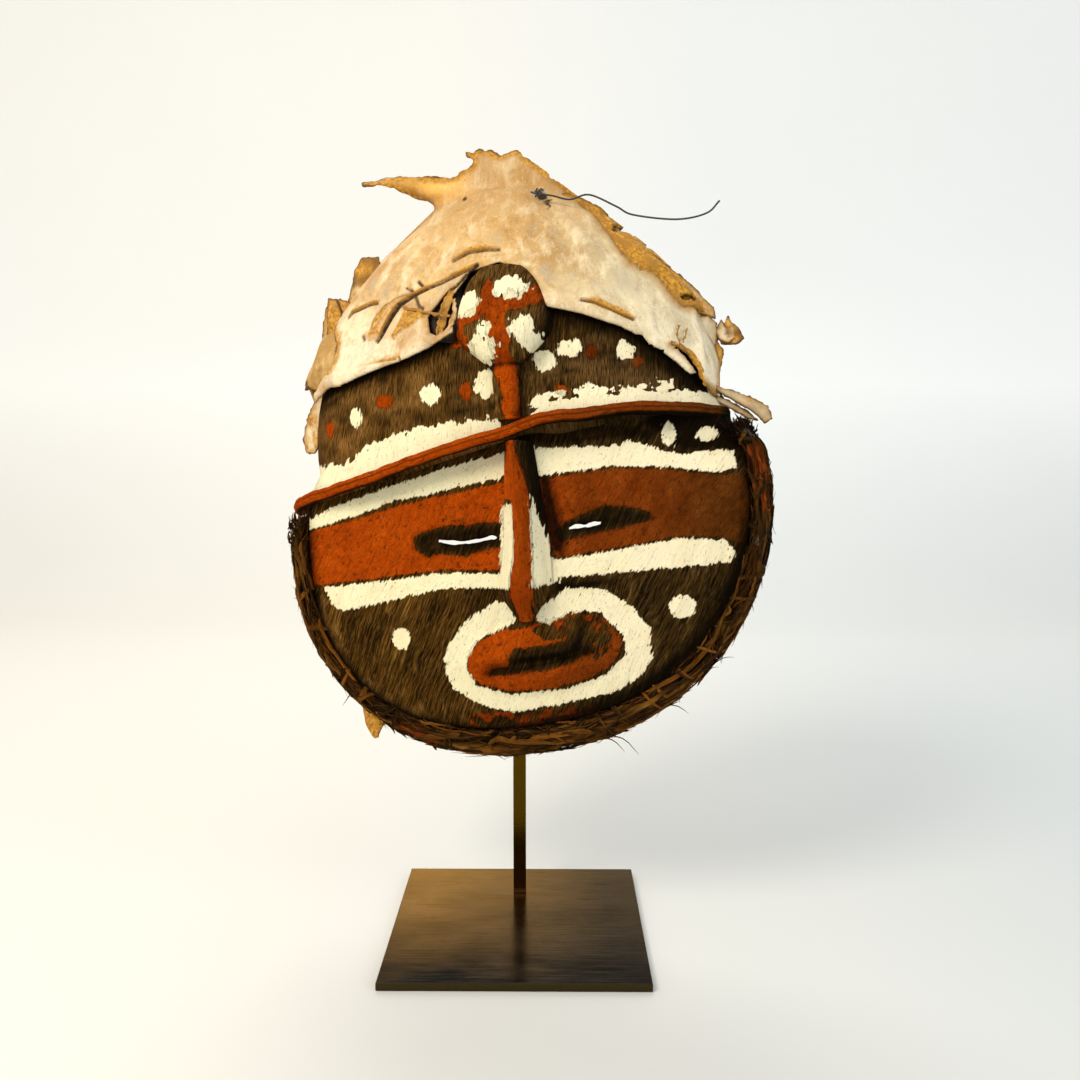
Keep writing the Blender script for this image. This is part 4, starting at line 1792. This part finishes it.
def back_relief(u, v, p):
    right, left = open_sides(v)
    half = np.maximum(crown_half(v, False), 20)
    around = u * DEG * BACK_RADIUS
    lift = 1.8 * layered(123, around / 38, v / 30, 2) + 0.4 * noise(126, around / 8, v / 9)
    folds = np.cos(u * DEG * 19 + 2 * noise(127, u / 30, v / 50))
    lift = lift + 1.1 * folds * smooth(95, 150, v) * smooth(218, 190, v)
    lift = lift + 2.0 * smooth(22, 0, v - 94) * noise(128, u / 9, v / 25)
    free = smooth(12, 22, np.minimum(u - right, left - u))
    return np.clip(lift, -3, 4) * free * smooth(40, 60, half * 2)


def back_fields(u, v, p):
    right, _ = open_sides(v)
    half = np.maximum(crown_half(v, False), 20)
    around = u * DEG * BACK_RADIUS
    # Golden where it shows beside the front sheet
    golden = most((u - right - 14) * half * DEG * 0.8, 1.2 * noise(129, u / 3, v / 6))
    edge = least(v - 90, 218 - v, golden)
    crease = [(175 * DEG * BACK_RADIUS, 110), (178 * DEG * BACK_RADIUS, 160)]
    crease = on_line(around, v, crease, [0.4, 0.9]) - 0.3
    gold = 1.5 * layered(131, u / 4, v / 7, 2) + 2.5 * smooth(104, 88, u) - 2.2
    return {"edge": edge, "gold": gold, "crease": crease, "soot": NONE + 0 * v}


sheet_piece("hide_rear", HIDE_DARK, "hide_dark", ("hide_back",), back_surface,
            spans=((50, 312), (80, 219)), cells=(210, 88), thick=1.8, relief=back_relief,
            inside=back_inside, fields=back_fields)

# Torn flaps of hide


def hide_blade(seed, outline, depth, growth, ripple, gold, crease):
    """A flap cut to an outline seen from the front. growth is how its depth grows to the right and
    upwards, ripple how much it waves."""
    cell, margin = 0.75, 2
    x0, z0 = np.min(outline, 0) - margin
    x1, z1 = np.max(outline, 0) + margin

    def surface(x, z):
        y = depth + growth[0] * (x - (x0 + x1) / 2) + growth[1] * (z - (z0 + z1) / 2)
        y = y + ripple * waves(x, z, (1.2, seed, 11, 14), (0.7, seed + 1, 3.5, 4.5))
        return np.stack([x, y, z], -1)

    def inside(x, z, p):
        ragged_by = waves(x, z, (0.5, seed + 2, 3.5, 3.5), (0.35, seed + 3, 1.5, 1.5))
        return in_outline(x, z, outline) + ragged_by

    def fields(x, z, p):
        rim = in_outline(x, z, outline)
        slope = np.gradient(p[..., 1], axis=1)
        return {"edge": rim + 1.5, "gold": gold + 1.5 * noise(seed + 4, x / 9, z / 9) - slope,
                "crease": most(crease + 0.9 * noise(seed + 5, x / 4, z / 7), 0.5 - rim * 0.8),
                "soot": NONE + 0 * rim}

    cells = [max(8, int(length / cell)) for length in (x1 - x0, z1 - z0)]
    return sheet(surface, spans=((x0, x1), (z0, z1)), cells=cells, thick=0.9, inside=inside,
                 fields=fields)


def hide_blades(name, blades, seed):
    parts = [hide_blade(seed + 10 * k, *blade) for k, blade in enumerate(blades)]
    joined_piece(name, parts, HIDE)


# Each flap's outline, depth, growth, ripple, gold and crease
hide_blades("flaps_right", [
    ([(31, 190), (37, 189), (45, 185), (53, 180), (57.5, 175), (56.5, 169), (59, 161), (55, 163),
      (50, 170), (43, 177), (35, 185)], 19, (0.2, 0), 1.0, 1.6, -0.9),
    ([(55, 170), (60, 172), (65, 163), (72, 154), (78, 144), (68, 146), (58, 160)], 20,
      (0.25, 0), 0.7, -2.2, -9),
    ([(59.2, 170), (60.6, 170), (63, 162), (62, 158), (59, 163)], 17, (0, 0), 0.5, 0.5, -0.5),
    ([(60, 158.5), (67, 156.8), (75, 156.6), (71, 152), (66, 145), (62.5, 151)], 16,
      (0.1, 0), 0.8, 1.2, -0.2),
    ([(72, 151), (79, 150.5), (86, 144), (94, 136), (102, 128), (109, 119), (114, 113), (114, 107),
      (109, 109), (102, 111), (93, 112), (88, 120), (82, 131), (76, 142)], 18,
      (0.25, 0.1), 0.9, 0.9, -0.95),
    ([(84, 118), (94, 111), (104, 113), (104.5, 105), (96, 100)], 13.5, (0.3, 0), 0.6, -9, -9),
    ([(92, 112), (103, 113), (104, 108), (110, 108.5), (115, 104), (114.5, 97), (113, 91), (111, 78),
      (109.5, 66), (105, 68), (104, 83), (100, 98)], 15, (0.45, 0), 0.8, -2.4, -9),
    ([(112, 94), (115, 92), (117, 88), (116, 81), (113, 73), (109, 66), (108, 74), (110, 84)], 19,
      (0.3, 0), 0.6, 1.0, -0.35),
    ([(113, 97), (115, 104), (118, 107), (118.5, 104), (121, 109), (123, 104), (127, 99), (128.5, 93.5),
      (124, 90.5), (116, 92)], 23, (-0.3, 0.3), 3.4, 0.9, -0.3),
    ([(113, 99), (117, 106), (120, 100), (124, 102), (126, 95), (120, 91), (115, 94)], 20,
      (0.3, 0.2), 2.8, 0.2, -0.6),
    ([(108, 67.5), (114, 65.5), (122, 62.5), (130, 58.5), (139, 53), (141, 45), (136, 43.5), (130, 50),
      (122, 56), (113, 62)], 9, (0.35, 0), 0.7, -1.2, -1.8),
    ([(110, 62), (118, 58), (127, 51), (133, 45), (127, 47), (118, 53), (110, 58)], 11,
      (0.3, 0), 0.5, -9, -9),
], 400)
hide_blades("flaps_left", [
    ([(-99, 163), (-93, 169), (-81, 167), (-80, 159), (-90, 148), (-99, 137), (-105, 141), (-101, 153)],
      12, (-0.35, 0.2), 1.2, 0.9, -0.25),
    ([(-119, 142), (-108, 145), (-98, 140), (-99, 128), (-105, 117), (-111, 106), (-119, 94),
      (-125, 88), (-127, 97), (-125, 110), (-125, 122), (-123, 134)], 13, (-0.5, 0), 1.2, 0.2, -1.0),
    ([(-115, 146), (-109, 144), (-105.5, 132), (-107.5, 117), (-111, 106), (-118, 96), (-121, 108),
      (-119, 122), (-117.5, 136)], 9.5, (-0.35, 0), 1.3, 1.3, -0.9),
    ([(-142, 55), (-143, 64), (-139, 75), (-132, 85), (-124, 92), (-119, 88), (-122, 76), (-127, 66),
      (-135, 53)], 14, (-0.3, 0), 0.9, -0.9, -1.4),
    ([(-128, 88), (-122, 98), (-107, 116), (-103, 112), (-114, 92), (-122, 84)], 12,
      (-0.4, 0), 0.9, 0.3, -0.5),
], 600)

# Scrap and wire

scrap = hide_strip("rim_scrap_hide", [(-109, 38, -85), (-116, 41.5, -94), (-120.5, 42, -102),
                                      (-123, 42, -111), (-123.5, 43, -120), (-122.5, 42, -129)],
                   [6, 8.5, 10.5, 7.5, 7, 1.5], 1.5, seed=160, cells=(14, 40), curl=-0.35, edge=-1.0,
                   gold=0.8)
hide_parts("rim_scrap")


def wire_piece(name, route, radius, replaced, rings, size=8):
    path = resample(route, rings)
    points = path[:, None] + spokes(path, whole_turn(size)) * radius
    piece(name, points, tube_faces(rings, size), IRON, replaced)


def knot_point(turn):
    """The knot's wire winds round and draws in."""
    return (KNOT_X + 2.6 * np.cos(turn) * (1 - 0.05 * turn), 1.0 - 0.2 * turn,
            KNOT_Z + 2.0 * np.sin(turn * 1.3 + 0.4))


WIRE = [(16, 3.2, 189), (20, 2.2, 187), (28, 2.6, 185), (38, 5, 182), (49, 8, 184), (64, 8, 175),
        (73, 8, 169), (97, 8, 163), (114, 8, 164), (122, 8, 170)]
wire_piece("iron_tie", WIRE, 0.55, ("tie_wire",), 90)
wire_piece("iron_knot", [knot_point(turn) for turn in np.linspace(0, 11, 26)], 0.42, (), 110)

# Floor and light


def floor_material():
    """Pale floor and wall, warmer at the left, duller close by, glowing a little higher up."""
    m = Tree("pale_floor")
    spot = m.place()
    tone = m.noise(spot, 0.004, 2, 0.5)
    across, back, up = m.parts(spot)
    near = m.span(back, 900, 100)
    left = m.blend(near, m.blend(tone, (0.69, 0.67, 0.60), (0.71, 0.69, 0.62)), (0.655, 0.630, 0.565))
    right = m.blend(near, m.blend(tone, (0.62, 0.64, 0.62), (0.64, 0.66, 0.64)), (0.50, 0.525, 0.52))
    m.shader.inputs["Emission Color"].default_value = (1, 0.99, 0.95, 1)
    m.put(m.shader.inputs["Emission Strength"], m.span(up, 0, 420, 0.0, 0.30))
    return m.finish(m.blend(m.span(across, -250, 450), left, right), 0.5)


def floor_piece():
    """A floor that curves up into a wall behind, in metres."""
    front, bend_from, bend, half_width, top = -3.0, 1.0, 1.2, 5, 5.0
    turns = np.linspace(0, 1, 40)[1:] * np.pi / 2
    profile = [(front, 0.0), (bend_from, 0.0)]
    profile += [(bend_from + bend * np.sin(turn), bend - bend * np.cos(turn)) for turn in turns]
    profile += [(bend_from + bend, top)]
    points = [(x, y, z) for y, z in profile for x in (-half_width, half_width)]
    faces = [[2 * k, 2 * k + 1, 2 * k + 3, 2 * k + 2] for k in range(len(profile) - 1)]
    mesh_object("pale_floor", points, faces, floor_material())


floor_piece()


def area_light(name, place, aim, size, power, colour):
    light = bpy.data.lights.new(name, "AREA")
    light.shape = "DISK"
    light.size = size
    light.energy = power
    light.color = colour
    shown = bpy.data.objects.new(name, light)
    shown.location = place
    direction = unit(np.array(aim, float) - np.array(place, float))
    shown.rotation_euler = (np.arccos(-direction[2]), 0, np.arctan2(-direction[0], direction[1]))
    bpy.context.collection.objects.link(shown)


area_light("key_left", (-0.9, -1.1, 1.35), (0, 0, 0.28), 0.7, 26, (1.0, 0.93, 0.82))
area_light("fill_right", (1.3, -0.9, 0.8), (0, 0, 0.25), 0.9, 7, (0.80, 0.90, 1.0))
area_light("back_top", (-0.2, 1.0, 1.5), (0, 0, 0.25), 1.0, 12, (1.0, 0.97, 0.92))

world = bpy.data.worlds.new("studio")
bpy.context.scene.world = world
world.use_nodes = True
world.node_tree.nodes["Background"].inputs[0].default_value = (0.95, 0.96, 1.0, 1)
world.node_tree.nodes["Background"].inputs[1].default_value = 0.80
bpy.context.scene.view_settings.view_transform = "Standard"
